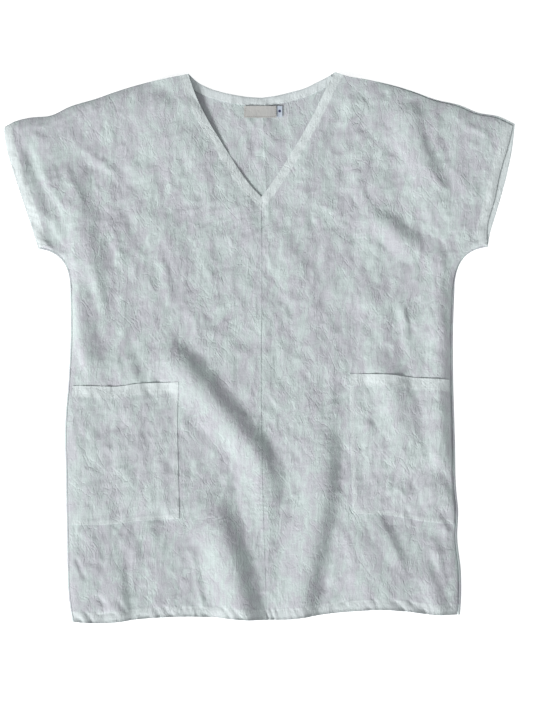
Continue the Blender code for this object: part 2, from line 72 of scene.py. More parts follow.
# How the front lies on the back
PUFF = 0.0036
SHOULDER_ROLL = {"right": 0.0060, "left": 0.0095}
HEM_ROLL = 0.0200
HEM_FALL = 0.06
NECK_LIFT = 0.0036
NECK_LIFT_NEAR = 0.030
NECK_LIFT_FAR = 0.075
V_FALL = 0.80
V_ROLL = 0.016
V_ARCH = {"right": 0.0028, "left": 0.0010}
V_ARCH_REACH = 0.035
HEM_LIP = 0.0014
HEM_LIP_REACH = 0.0019
SIDE_ROLL = {"right": 0.0085, "left": 0.0065}

MIDDLE = (-0.0020, 0.4145)
HEM_CENTRE = (0.0080, 0.0070)
V_POINT = (0.0005, 0.6405)
NECK_CENTRE = (0.0010, 0.7890)
FRONT_SEAM_BENDS = [(0.0000, 0.3300), (0.0010, 0.5000)]
BACK_SEAM_BENDS = [(0.0075, 0.3000), (0.0070, 0.6705)]
SIDE_TOP_ROW = 0.5150
SLEEVE_ROW = 0.6000
V_ROW_ON_SLEEVE = 0.0300

Corners = namedtuple("Corners", "neck sleeve_top sleeve_low armpit side_top hem")

BACK_CORNERS = {
    "right": Corners((-0.1090, 0.8255), (-0.3850, 0.7455), (-0.3340, 0.5625),
                     (-0.2870, 0.5570), (-0.2865, 0.5050), (-0.2835, 0.0030)),
    "left": Corners((0.1110, 0.8280), (0.3810, 0.7500), (0.3400, 0.5650),
                    (0.2902, 0.5610), (0.2900, 0.5000), (0.2985, 0.0140)),
}

FRONT_CORNERS = {
    "right": Corners((-0.1090, 0.8245), (-0.3842, 0.7445), (-0.3325, 0.5655),
                     (-0.2838, 0.5602), (-0.2833, 0.5050), (-0.2803, 0.0035)),
    "left": Corners((0.1107, 0.8275), (0.3770, 0.7464), (0.3385, 0.5685),
                    (0.2893, 0.5622), (0.2868, 0.5000), (0.2935, 0.0145)),
}

# How far each edge stands out of the straight line between its two corners:
# part of the way along the edge, and distance outwards
Bulge = namedtuple("Bulge", "along out")

SIDE = {
    "right": [Bulge(0.07, 0.0045), Bulge(0.24, 0.0070), Bulge(0.42, 0.0080), Bulge(0.60, 0.0085),
              Bulge(0.72, 0.0035), Bulge(0.85, 0.0000)],
    "left": [Bulge(0.05, 0.0020), Bulge(0.13, 0.0025), Bulge(0.24, -0.0020), Bulge(0.32, 0.0000),
             Bulge(0.39, -0.0025), Bulge(0.53, -0.0030), Bulge(0.75, -0.0040), Bulge(0.88, -0.0030)],
}
SLEEVE_HEM = {
    "right": [Bulge(0.10, 0.0005), Bulge(0.40, 0.0032), Bulge(0.60, 0.0050), Bulge(0.80, 0.0056),
              Bulge(0.95, 0.0032)],
    "left": [Bulge(0.10, -0.0010), Bulge(0.28, 0.0014), Bulge(0.50, 0.0040), Bulge(0.68, 0.0047),
             Bulge(0.86, 0.0030)],
}
FRONT_SLEEVE_HEM = {
    "right": SLEEVE_HEM["right"],
    "left": [Bulge(0.13, -0.0050), Bulge(0.38, -0.0035), Bulge(0.62, -0.0035), Bulge(0.84, -0.0005)],
}
SHOULDER = {
    "right": [Bulge(0.13, 0.0030), Bulge(0.30, 0.0047), Bulge(0.40, 0.0040), Bulge(0.50, 0.0023),
              Bulge(0.65, 0.0017), Bulge(0.745, -0.0030), Bulge(0.87, 0.0030), Bulge(0.94, 0.0035)],
    "left": [Bulge(0.07, -0.0005), Bulge(0.16, 0.0020), Bulge(0.32, 0.0050), Bulge(0.43, 0.0045),
             Bulge(0.55, 0.0022), Bulge(0.69, 0.0040), Bulge(0.79, 0.0010), Bulge(0.91, 0.0040)],
}
HEM = {
    "right": [Bulge(0.12, -0.0015), Bulge(0.28, -0.0050), Bulge(0.50, -0.0057), Bulge(0.65, -0.0036),
              Bulge(0.82, 0.0017), Bulge(0.90, 0.0024)],
    "left": [Bulge(0.10, -0.0005), Bulge(0.20, -0.0030), Bulge(0.42, -0.0090), Bulge(0.60, -0.0110),
             Bulge(0.75, -0.0065), Bulge(0.88, -0.0010)],
}
NECK_SCOOP = {
    "right": [Bulge(0.20, -0.0058), Bulge(0.36, -0.0088), Bulge(0.55, -0.0109), Bulge(0.70, -0.0108),
              Bulge(0.85, -0.0078)],
    "left": [Bulge(0.20, -0.0045), Bulge(0.40, -0.0068), Bulge(0.55, -0.0080), Bulge(0.72, -0.0060),
             Bulge(0.90, -0.0030)],
}
V_EDGE = {
    "right": [Bulge(0.07, 0.0038), Bulge(0.22, 0.0076), Bulge(0.50, 0.0097), Bulge(0.67, 0.0100),
              Bulge(0.81, 0.0078), Bulge(0.94, 0.0030)],
    "left": [Bulge(0.06, 0.0018), Bulge(0.16, 0.0034), Bulge(0.37, 0.0052), Bulge(0.52, 0.0055),
             Bulge(0.66, 0.0046), Bulge(0.90, 0.0008)],
}

Pocket = namedtuple("Pocket", "low_inner low_outer top_inner top_outer across margin_columns")

POCKETS = {
    "right": Pocket(0.1545, 0.1500, 0.3590, 0.3570, 0.1215, 3),
    "left": Pocket(0.1630, 0.1500, 0.3700, 0.3660, 0.1335, 2),
}

# Folds and creases: the crest's points from the top down or from right to left
# sleeve, its height (a trough's is negative), how wide it falls away on its
# right and on its left hand, and the part of its length over which it rises
# at the start and dies away at the end
Fold = namedtuple("Fold", "crest height right_width left_width rise die")

# The largest folds, which the solids have too
FOLDS = [
    Fold([(-0.164, 0.424), (-0.137, 0.404), (-0.106, 0.374), (-0.070, 0.332), (-0.036, 0.290),
          (-0.008, 0.254), (0.006, 0.214), (0.007, 0.160), (0.003, 0.090)], 0.0118, 0.046, 0.034,
         0.16, 0.42),
    Fold([(-0.074, 0.215), (-0.060, 0.141), (-0.040, 0.074), (-0.024, 0.000)], 0.0150, 0.055, 0.038,
         0.45, 0.00),
    Fold([(0.090, 0.370), (0.096, 0.276), (0.093, 0.201), (0.080, 0.126), (0.065, 0.051),
          (0.058, 0.000)], 0.0132, 0.050, 0.030, 0.50, 0.00),
    Fold([(-0.282, 0.515), (-0.277, 0.450), (-0.262, 0.395), (-0.246, 0.345)], 0.0064, 0.014, 0.032,
         0.25, 0.40),
    Fold([(0.154, 0.414), (0.187, 0.369), (0.214, 0.285), (0.225, 0.200)], 0.0054, 0.034, 0.040,
         0.20, 0.50),
    Fold([(0.146, 0.620), (0.186, 0.598), (0.240, 0.552)], 0.0058, 0.028, 0.024, 0.30, 0.30),
    Fold([(0.222, 0.790), (0.232, 0.726), (0.255, 0.672), (0.262, 0.600)], 0.0068, 0.045, 0.024,
         0.15, 0.50),
    Fold([(-0.285, 0.700), (-0.272, 0.614), (-0.252, 0.546), (-0.240, 0.440)], 0.0046, 0.034, 0.032,
         0.30, 0.40),
    Fold([(-0.326, 0.614), (-0.310, 0.580), (-0.295, 0.552)], -0.0022, 0.014, 0.016, 0.30, 0.20),
    Fold([(0.268, 0.520), (0.272, 0.360), (0.270, 0.240), (0.280, 0.160)], 0.0030, 0.032, 0.024,
         0.30, 0.30),
    Fold([(-0.216, 0.115), (-0.212, 0.060), (-0.208, 0.000)], 0.0048, 0.034, 0.018, 0.50, 0.00),
    Fold([(0.238, 0.105), (0.262, 0.040), (0.270, 0.000)], 0.0042, 0.026, 0.018, 0.40, 0.10),
    Fold([(0.164, 0.180), (0.186, 0.140), (0.206, 0.100), (0.224, 0.064)], 0.0030, 0.022, 0.015,
         0.40, 0.40),
    Fold([(-0.106, 0.815), (-0.096, 0.785), (-0.082, 0.757)], 0.0046, 0.040, 0.020, 0.20, 0.55),
    Fold([(0.104, 0.815), (0.088, 0.778), (0.064, 0.735)], 0.0024, 0.016, 0.030, 0.20, 0.60),
    Fold([(-0.180, 0.800), (-0.160, 0.740), (-0.150, 0.660)], 0.0022, 0.045, 0.040, 0.30, 0.50),
    Fold([(-0.165, 0.640), (-0.138, 0.585), (-0.120, 0.520)], 0.0020, 0.030, 0.020, 0.40, 0.50),
    Fold([(0.020, 0.600), (0.052, 0.520), (0.060, 0.440)], 0.0018, 0.040, 0.030, 0.40, 0.50),
    Fold([(0.150, 0.170), (0.160, 0.090), (0.165, 0.000)], 0.0076, 0.050, 0.110, 0.40, 0.00),
    Fold([(-0.122, 0.800), (-0.124, 0.740), (-0.112, 0.670)], 0.0044, 0.110, 0.050, 0.20, 0.50),
]

# Smaller creases of the front
CREASES = [
    # Right sleeve and shoulder
    Fold([(-0.330, 0.690), (-0.311, 0.652), (-0.286, 0.609)], 0.0030, 0.012, 0.022, 0.25, 0.35),
    Fold([(-0.346, 0.688), (-0.336, 0.636), (-0.324, 0.576)], 0.0034, 0.012, 0.016, 0.25, 0.30),
    Fold([(-0.351, 0.726), (-0.342, 0.681), (-0.329, 0.636), (-0.316, 0.613)], -0.0026, 0.013, 0.016,
         0.20, 0.40),
    Fold([(-0.346, 0.610), (-0.325, 0.585), (-0.300, 0.552)], -0.0030, 0.009, 0.022, 0.10, 0.10),
    Fold([(-0.242, 0.598), (-0.222, 0.570), (-0.203, 0.545)], 0.0010, 0.006, 0.007, 0.30, 0.30),
    Fold([(-0.156, 0.725), (-0.126, 0.731), (-0.096, 0.740)], 0.0010, 0.008, 0.009, 0.30, 0.30),
    Fold([(-0.154, 0.808), (-0.160, 0.785), (-0.167, 0.759)], 0.0016, 0.016, 0.034, 0.30, 0.40),
    Fold([(-0.193, 0.711), (-0.190, 0.658)], 0.0014, 0.014, 0.010, 0.40, 0.40),
    Fold([(-0.097, 0.729), (-0.094, 0.688)], 0.0012, 0.012, 0.010, 0.40, 0.40),
    Fold([(-0.300, 0.700), (-0.280, 0.655), (-0.262, 0.620)], 0.0020, 0.014, 0.010, 0.30, 0.30),
    Fold([(-0.262, 0.700), (-0.236, 0.690), (-0.212, 0.668)], 0.0016, 0.010, 0.010, 0.30, 0.30),
    Fold([(-0.365, 0.690), (-0.352, 0.650), (-0.342, 0.612)], 0.0020, 0.007, 0.009, 0.30, 0.30),
    # Left shoulder and sleeve
    Fold([(0.235, 0.700), (0.262, 0.665), (0.290, 0.640)], 0.0018, 0.012, 0.009, 0.30, 0.30),
    Fold([(0.300, 0.745), (0.322, 0.742), (0.345, 0.735)], 0.0010, 0.009, 0.007, 0.30, 0.30),
    Fold([(0.140, 0.700), (0.150, 0.650), (0.176, 0.610)], 0.0018, 0.016, 0.010, 0.30, 0.30),
    Fold([(0.150, 0.806), (0.156, 0.790), (0.166, 0.772)], -0.0014, 0.006, 0.007, 0.10, 0.40),
    Fold([(0.186, 0.799), (0.189, 0.782)], -0.0014, 0.006, 0.006, 0.10, 0.40),
    Fold([(0.116, 0.781), (0.160, 0.783), (0.220, 0.788)], 0.0010, 0.008, 0.010, 0.20, 0.40),
    Fold([(0.123, 0.780), (0.111, 0.748), (0.092, 0.711)], -0.0022, 0.012, 0.014, 0.30, 0.40),
    Fold([(0.126, 0.817), (0.132, 0.807)], -0.0014, 0.004, 0.005, 0.30, 0.30),
    Fold([(0.078, 0.745), (0.067, 0.690), (0.070, 0.600)], 0.0018, 0.020, 0.015, 0.30, 0.40),
    Fold([(0.156, 0.711), (0.160, 0.666)], 0.0014, 0.012, 0.010, 0.40, 0.40),
    Fold([(0.273, 0.726), (0.270, 0.681)], 0.0013, 0.014, 0.010, 0.40, 0.40),
    Fold([(0.322, 0.666), (0.319, 0.628)], 0.0012, 0.010, 0.008, 0.40, 0.40),
    # Chest and waist
    Fold([(-0.283, 0.640), (-0.277, 0.520), (-0.272, 0.400)], 0.0036, 0.012, 0.060, 0.30, 0.30),
    Fold([(-0.262, 0.560), (-0.240, 0.500), (-0.228, 0.440)], 0.0022, 0.014, 0.009, 0.30, 0.30),
    Fold([(-0.236, 0.620), (-0.216, 0.575), (-0.205, 0.515)], 0.0018, 0.013, 0.009, 0.30, 0.30),
    Fold([(-0.160, 0.560), (-0.140, 0.520), (-0.130, 0.470)], 0.0016, 0.012, 0.009, 0.30, 0.30),
    Fold([(-0.110, 0.480), (-0.095, 0.440), (-0.090, 0.400)], 0.0014, 0.012, 0.009, 0.30, 0.30),
    Fold([(0.110, 0.610), (0.085, 0.560), (0.078, 0.520)], -0.0012, 0.008, 0.010, 0.30, 0.30),
    Fold([(0.130, 0.560), (0.090, 0.500), (0.075, 0.455)], 0.0013, 0.009, 0.007, 0.30, 0.30),
    Fold([(0.200, 0.500), (0.215, 0.455), (0.220, 0.405)], 0.0020, 0.014, 0.010, 0.30, 0.30),
    Fold([(0.118, 0.430), (0.105, 0.370), (0.108, 0.310)], 0.0016, 0.012, 0.009, 0.30, 0.30),
    Fold([(-0.079, 0.643), (-0.076, 0.598)], 0.0013, 0.014, 0.010, 0.40, 0.40),
    Fold([(0.066, 0.628), (0.070, 0.576)], 0.0014, 0.012, 0.010, 0.40, 0.40),
    Fold([(-0.043, 0.543), (-0.046, 0.486)], 0.0012, 0.012, 0.010, 0.40, 0.40),
    Fold([(-0.207, 0.508), (-0.205, 0.459)], 0.0016, 0.014, 0.010, 0.40, 0.40),
    Fold([(-0.163, 0.478), (-0.159, 0.433)], 0.0010, 0.012, 0.008, 0.40, 0.40),
    Fold([(0.076, 0.546), (0.085, 0.501)], 0.0010, 0.012, 0.010, 0.40, 0.40),
    Fold([(0.160, 0.508), (0.171, 0.456)], 0.0012, 0.014, 0.012, 0.40, 0.40),
    Fold([(-0.196, 0.411), (-0.189, 0.358)], 0.0022, 0.014, 0.012, 0.30, 0.20),
    Fold([(-0.117, 0.336), (-0.112, 0.276)], 0.0013, 0.012, 0.010, 0.40, 0.40),
    Fold([(-0.115, 0.231), (-0.120, 0.186)], 0.0010, 0.012, 0.010, 0.40, 0.40),
    # Left side, where the front falls steeply to the seam
    Fold([(0.264, 0.570), (0.270, 0.535), (0.272, 0.508)], 0.0036, 0.034, 0.017, 0.30, 0.35),
    Fold([(0.262, 0.532), (0.270, 0.494), (0.274, 0.460)], 0.0032, 0.034, 0.016, 0.35, 0.35),
    Fold([(0.260, 0.486), (0.268, 0.446), (0.273, 0.410)], 0.0042, 0.034, 0.017, 0.35, 0.30),
    Fold([(0.262, 0.428), (0.270, 0.385), (0.274, 0.345)], 0.0032, 0.034, 0.017, 0.30, 0.35),
    Fold([(0.262, 0.372), (0.270, 0.322), (0.276, 0.286)], 0.0036, 0.034, 0.017, 0.35, 0.35),
    Fold([(0.264, 0.312), (0.273, 0.270), (0.279, 0.236)], 0.0040, 0.034, 0.015, 0.35, 0.30),
    Fold([(0.244, 0.268), (0.260, 0.252), (0.278, 0.234)], 0.0020, 0.020, 0.012, 0.50, 0.10),
    Fold([(0.262, 0.168), (0.272, 0.150), (0.284, 0.132)], 0.0026, 0.016, 0.009, 0.50, 0.20),
    Fold([(0.262, 0.236), (0.277, 0.219), (0.292, 0.198)], -0.0026, 0.011, 0.010, 0.40, 0.10),
    Fold([(0.141, 0.246), (0.151, 0.193)], 0.0010, 0.010, 0.008, 0.40, 0.40),
    # Below the pockets
    Fold([(-0.166, 0.216), (-0.164, 0.150), (-0.163, 0.096)], 0.0016, 0.020, 0.012, 0.40, 0.40),
    Fold([(-0.280, 0.105), (-0.259, 0.060)], -0.0022, 0.006, 0.006, 0.20, 0.40),
    Fold([(-0.248, 0.046), (-0.232, 0.027)], -0.0020, 0.006, 0.006, 0.30, 0.30),
    Fold([(-0.217, 0.042), (-0.201, 0.015)], -0.0022, 0.006, 0.006, 0.30, 0.20),
    Fold([(0.180, 0.152), (0.198, 0.116), (0.213, 0.084), (0.229, 0.058)], 0.0012, 0.008, 0.005,
         0.40, 0.25),
    Fold([(-0.268, 0.150), (-0.250, 0.120), (-0.238, 0.085)], 0.0018, 0.014, 0.009, 0.30, 0.40),
    Fold([(-0.190, 0.140), (-0.186, 0.095), (-0.196, 0.045)], 0.0020, 0.016, 0.010, 0.30, 0.30),
    Fold([(-0.110, 0.120), (-0.096, 0.080), (-0.092, 0.040)], 0.0014, 0.010, 0.008, 0.30, 0.30),
    Fold([(0.120, 0.150), (0.135, 0.105), (0.142, 0.060)], 0.0016, 0.012, 0.008, 0.30, 0.30),
    Fold([(0.262, 0.130), (0.268, 0.090), (0.278, 0.050)], 0.0022, 0.014, 0.009, 0.30, 0.30),
    Fold([(0.166, 0.096), (0.182, 0.062), (0.196, 0.036)], 0.0014, 0.014, 0.009, 0.40, 0.30),
]

# Soft creases of the back, which show inside the neck and underneath
BACK_CREASES = [
    Fold([(-0.050, 0.760), (-0.044, 0.720), (-0.030, 0.672)], 0.0008, 0.016, 0.012, 0.40, 0.40),
    Fold([(0.040, 0.765), (0.050, 0.730), (0.040, 0.690)], 0.0009, 0.014, 0.012, 0.40, 0.40),
    Fold([(0.022, 0.735), (0.018, 0.690), (0.010, 0.650)], -0.0006, 0.012, 0.010, 0.40, 0.40),
    Fold([(-0.220, 0.690), (-0.190, 0.610), (-0.130, 0.540)], 0.0012, 0.026, 0.020, 0.40, 0.50),
    Fold([(0.240, 0.700), (0.190, 0.620), (0.150, 0.520)], 0.0012, 0.020, 0.026, 0.40, 0.50),
    Fold([(-0.190, 0.500), (-0.150, 0.400), (-0.130, 0.280)], 0.0011, 0.022, 0.030, 0.30, 0.50),
    Fold([(0.120, 0.470), (0.160, 0.360), (0.170, 0.240)], 0.0012, 0.030, 0.018, 0.30, 0.50),
    Fold([(-0.060, 0.430), (-0.030, 0.330), (-0.040, 0.210)], 0.0010, 0.024, 0.020, 0.40, 0.40),
    Fold([(0.060, 0.330), (0.050, 0.220), (0.070, 0.110)], 0.0012, 0.018, 0.024, 0.40, 0.30),
    Fold([(-0.090, 0.210), (-0.080, 0.120), (-0.100, 0.030)], 0.0012, 0.026, 0.016, 0.50, 0.20),
    Fold([(0.200, 0.200), (0.220, 0.120), (0.210, 0.040)], 0.0010, 0.018, 0.020, 0.40, 0.30),
    Fold([(-0.230, 0.260), (-0.220, 0.160), (-0.235, 0.070)], 0.0010, 0.018, 0.018, 0.40, 0.40),
    Fold([(0.090, 0.660), (0.070, 0.590), (0.080, 0.500)], -0.0007, 0.014, 0.014, 0.40, 0.40),
    Fold([(-0.120, 0.680), (-0.090, 0.600), (-0.085, 0.520)], -0.0007, 0.012, 0.014, 0.40, 0.40),
]

# Irregular crumple: size of a bump across and up, its turn in degrees, and its height
Crumple = namedtuple("Crumple", "across up turn height sharp")

FRONT_CRUMPLE = [
    Crumple(0.050, 0.085, 14.0, 0.00170, False),
    Crumple(0.031, 0.056, -22.0, 0.00125, True),
    Crumple(0.020, 0.035, 20.0, 0.00085, False),
    Crumple(0.0135, 0.023, -38.0, 0.00075, True),
    Crumple(0.0090, 0.0150, 12.0, 0.00040, False),
    Crumple(0.0070, 0.0115, -28.0, 0.00034, True),
]
BACK_CRUMPLE = [
    Crumple(0.045, 0.080, -10.0, 0.00080, False),
    Crumple(0.022, 0.040, 25.0, 0.00055, True),
    Crumple(0.0125, 0.021, -20.0, 0.00034, False),
    Crumple(0.0075, 0.012, 30.0, 0.00018, True),
]
FOLD_TAUT = 0.60
FOLD_FULL = 0.0080
WARP = 0.007
WARP_CELL = (0.045, 0.060)
SOFT_FLOOR = 0.0005
LATTICE = 64
FRONT_SEED = 100
BACK_SEED = 300

# Short random creases of the front
SHORT_CREASES = 420
SHORT_LENGTH = (0.014, 0.055)
SHORT_WIDTH = (0.0034, 0.0065)
SHORT_HEIGHT = (0.00030, 0.00095)
SHORT_TURN = 42.0

# Puckers along the stitched hems
PUCKER_PITCH = 0.0165
PUCKER_PINCH = 0.52
PUCKER_SKEW = 0.7
PUCKER_HEIGHT = 0.00190
PUCKER_FADE = 0.006

# Centre-front seam: the right half ends a little higher than the left half
SEAM_RIDGE = 0.00036
SEAM_DIP = -0.00020
SEAM_REACH = 0.0042

# How the back lies
BACK_LOFT = 0.0009
BACK_ROLL = 0.0150
BACK_LIMIT = 0.0019
EDGE_ROUND = 0.00050
EDGE_ROUND_REACH = 0.0008
NECK_SLOPE = 0.594
NECK_FREEDOM = 1.8
RIM_CLEARANCE = 0.0006
RIM_RISE = {"right": 0.0013, "left": 0.0022}
SHOULDER_RIM = 0.0013
SHOULDER_RISE = 0.0016

# Pockets stand a little away from the front
POCKET_CLOTH = 0.0006
POCKET_PUFF = 0.0013
POCKET_CRUMPLE = [
    Crumple(0.024, 0.044, 18.0, 0.00060, True),
    Crumple(0.015, 0.026, -25.0, 0.00045, False),
    Crumple(0.0090, 0.015, 15.0, 0.00025, True),
]
POCKET_SEED = 500
POCKET_STITCH = 0.0026
POCKET_GROOVE = 0.00028
POCKET_EDGE_FALL = 0.00030
POCKET_TURNING = 0.0050
POCKET_TURNING_RISE = 0.00045
POCKET_LINES = (0.0006, 0.0014, 0.0026, 0.0038)
POCKET_REACH = 0.0055

# Rows of the facing from its lower edge up, and how freely each one puckers
FacingRow = namedtuple("FacingRow", "depth freedom")

FACING_ROWS = [
    FacingRow(0.0130, 0.5), FacingRow(0.0122, 0.7), FacingRow(0.0110, 0.8), FacingRow(0.0085, 1.0),
    FacingRow(0.0058, 0.9), FacingRow(0.0030, 0.5), FacingRow(0.0005, 0.1), FacingRow(0.0000, 0.0),
]
FACING_COLUMNS = 90
FACING_STITCH_ROW = 2
FACING_RIPPLE = 0.6
FACING_SEED = 41

# Label and size tab sewn under the back neck facing
LABEL_SIZE = (0.0485, 0.0183)
LABEL_CORNER = (-0.0255, 0.7588)
LABEL_CLOTH = 0.0005
TAB_SIZE = (0.0085, 0.0172)
TAB_CORNER = (0.0234, 0.7599)
LABEL_CURL = 0.0010

# Stitches
STITCH_LENGTH = 0.0024
STITCH_PITCH = 0.0031
STITCH_RADIUS = 0.00020
STITCH_IN = 0.0013
GROOVE = 0.00025
GROOVE_WIDTH = 0.0012

# Points along each edge's curve and along each fold's crest
DENSE = 160
CREST_POINTS = 60
PROBE = 0.02
SHARP_ANGLE = math.radians(50.0)

# Rows and columns of the shells
FrontRows = namedtuple("FrontRows", "to_pocket pocket to_side_top underarm to_tip tip neck")
FRONT_ROWS = FrontRows(50, 78, 52, 34, 9, 14, 80)
FRONT_CENTRE_COLUMNS = 14
FRONT_CENTRE_REACH = 0.0170
COLUMNS_TO_POCKET = 44
COLUMNS_TO_SLEEVE_BAND = 56
TIP_REACH = 0.0220
BACK_SIDE_ROWS = 170
BACK_UNDERARM_ROWS = 28
BACK_SLEEVE_ROWS = 62
NECK_COLUMNS = 40
SHOULDER_COLUMNS = 66


def smooth_curve(points, count=DENSE):
    """Points spaced evenly along a smooth curve through the given ones."""
    points = np.array(points, float)
    if len(points) == 2:
        knots = np.array([0.0, 1.0])
        grid = np.linspace(0.0, 1.0, count)
        return np.column_stack([np.interp(grid, knots, points[:, axis]) for axis in (0, 1)])
    spans = np.linalg.norm(np.diff(points, axis=0), axis=1)
    knots = np.concatenate([[0.0], np.cumsum(spans)])
    slopes = np.gradient(points, knots, axis=0)
    grid = np.linspace(0.0, knots[-1], count)
    piece = np.clip(np.searchsorted(knots, grid, side="right") - 1, 0, len(spans) - 1)
    span = spans[piece]
    t = ((grid - knots[piece]) / span)[:, None]
    span = span[:, None]
    start_share = 2 * t**3 - 3 * t**2 + 1
    end_share = 3 * t**2 - 2 * t**3
    start_pull = (t**3 - 2 * t**2 + t) * span
    end_pull = (t**3 - t**2) * span
    return (start_share * points[piece] + end_share * points[piece + 1]
            + start_pull * slopes[piece] + end_pull * slopes[piece + 1])


def bent_edge(start, end, bulges, outward):
    """A straight edge bent by its table; outward is +1 to the left of travel."""
    start = np.array(start)
    end = np.array(end)
    run = (end - start) / np.linalg.norm(end - start)
    normal = outward * np.array([-run[1], run[0]])
    middle = [start + (end - start) * row.along + normal * row.out for row in bulges]
    return smooth_curve([start, *middle, end])


def armpit_curve(corners):
    """The round underarm, a quadratic curve pulled towards the armpit corner."""
    t = np.linspace(0.0, 1.0, DENSE)[:, None]
    start = np.array(corners.side_top)
    pull = np.array(corners.armpit)
    end = np.array(corners.sleeve_low)
    return (1 - t) ** 2 * start + 2 * t * (1 - t) * pull + t**2 * end


class Edge:
    """A chain of curves, read by the distance along it."""

    def __init__(self, *curves):
        self.points = np.concatenate([curves[0]] + [curve[1:] for curve in curves[1:]])
        steps = np.linalg.norm(np.diff(self.points, axis=0), axis=1)
        self.distance = np.concatenate([[0.0], np.cumsum(steps)])
        lengths = [np.linalg.norm(np.diff(curve, axis=0), axis=1).sum() for curve in curves]
        self.joints = np.concatenate([[0.0], np.cumsum(lengths)])
        self.length = self.distance[-1]

    def at(self, distance):
        across = np.interp(distance, self.distance, self.points[:, 0])
        up = np.interp(distance, self.distance, self.points[:, 1])
        return np.stack([across, up], axis=-1)

    def where_up(self, up):
        """Distance along an edge that climbs all the way, at a height."""
        return np.interp(up, self.points[:, 1], self.distance)


class Panel:
    """A four-sided patch: inner edge, outer edge, hem and top."""

    def __init__(self, inner, outer, hem, top, stations):
        self.inner = inner
        self.outer = outer
        self.hem = hem
        self.top = top
        self.stations = stations
        self.marks = np.array([row.inner for row in stations]) / inner.length

    def sides(self, v):
        inner_run = np.interp(v, self.marks, [row.inner for row in self.stations])
        outer_run = np.interp(v, self.marks, [row.outer for row in self.stations])
        return self.inner.at(inner_run), self.outer.at(outer_run)

    def at(self, u, v):
        inner, outer = self.sides(v)
        hem = self.hem.at(u * self.hem.length)
        top = self.top.at(u * self.top.length)
        u = u[..., None]
        v = v[..., None]
        flat = ((1 - u) * (1 - v) * self.hem.points[0] + u * (1 - v) * self.hem.points[-1]
                + (1 - u) * v * self.top.points[0] + u * v * self.top.points[-1])
        return (1 - u) * inner + u * outer + (1 - v) * hem + v * top - flat


# A row of the grid: its height share from hem to top, or a distance from one end
Line = namedtuple("Line", "share from_start from_end")


def share(value):
    return Line(value, 0.0, 0.0)


def past(distance):
    return Line(0.0, distance, 0.0)


def before(distance):
    return Line(1.0, 0.0, distance)


def stretch(first, last, count):
    """Evenly spaced shares, the first left out and the last kept."""
    return [share(value) for value in np.linspace(first, last, count + 1)[1:]]


Station = namedtuple("Station", "inner outer")


def side_sign(side):
    return -1.0 if side == "right" else 1.0


def outer_edge(side, corners, sleeve_bulges):
    """From the hem's corner up the side, round the underarm, up the sleeve hem."""
    out = -side_sign(side)
    return Edge(bent_edge(corners.hem, corners.side_top, SIDE[side], out),
                armpit_curve(corners),
                bent_edge(corners.sleeve_low, corners.sleeve_top, sleeve_bulges, out))


def hem_edge(side, corner):
    centre = (HEM_CENTRE[0] + side_sign(side) * SEAM_GAP / 2, HEM_CENTRE[1])
    return Edge(bent_edge(centre, corner, HEM[side], -side_sign(side)))


def shifted(points, side):
    """Centre seam points, moved half a seam gap to one side."""
    return [(across + side_sign(side) * SEAM_GAP / 2, up) for across, up in points]


def front_panel(side):
    corners = FRONT_CORNERS[side]
    sign = side_sign(side)
    seam = shifted([HEM_CENTRE, *FRONT_SEAM_BENDS, V_POINT], side)
    v_edge = bent_edge(seam[-1], corners.neck, V_EDGE[side], -sign)
    inner = Edge(smooth_curve(seam), v_edge)
    outer = outer_edge(side, corners, FRONT_SLEEVE_HEM[side])
    shoulder = Edge(bent_edge(corners.neck, corners.sleeve_top, SHOULDER[side], sign))
    pocket = POCKETS[side]
    stations = [
        Station(0.0, 0.0),
        Station(inner.where_up(pocket.low_inner), outer.where_up(pocket.low_outer)),
        Station(inner.where_up(pocket.top_inner), outer.where_up(pocket.top_outer)),
        Station(inner.where_up(SIDE_TOP_ROW), outer.joints[1]),
        Station(inner.where_up(SLEEVE_ROW), outer.joints[2]),
        Station(inner.joints[1], outer.joints[2] + V_ROW_ON_SLEEVE),
        Station(inner.length, outer.length),
    ]
    panel = Panel(inner, outer, hem_edge(side, corners.hem), shoulder, stations)
    tangent = v_edge[1] - v_edge[0]
    tangent = tangent / np.linalg.norm(tangent)
    panel.v_line = np.concatenate([[v_edge[0] - tangent * reach] for reach in np.linspace(0.04, 0.001, 40)]
                                  + [v_edge])
    return panel


def back_panel(side):
    corners = BACK_CORNERS[side]
    sign = side_sign(side)
    seam = shifted([HEM_CENTRE, *BACK_SEAM_BENDS, NECK_CENTRE], side)
    inner = Edge(smooth_curve(seam))
    outer = outer_edge(side, corners, SLEEVE_HEM[side])
    scoop = bent_edge(seam[-1], corners.neck, NECK_SCOOP[side], sign)
    shoulder = bent_edge(corners.neck, corners.sleeve_top, SHOULDER[side], sign)
    stations = [
        Station(0.0, 0.0),
        Station(inner.where_up(SIDE_TOP_ROW), outer.joints[1]),
        Station(inner.where_up(SLEEVE_ROW), outer.joints[2]),
        Station(inner.length, outer.length),
    ]
    panel = Panel(inner, outer, hem_edge(side, corners.hem), Edge(scoop, shoulder), stations)
    panel.scoop = scoop
    return panel


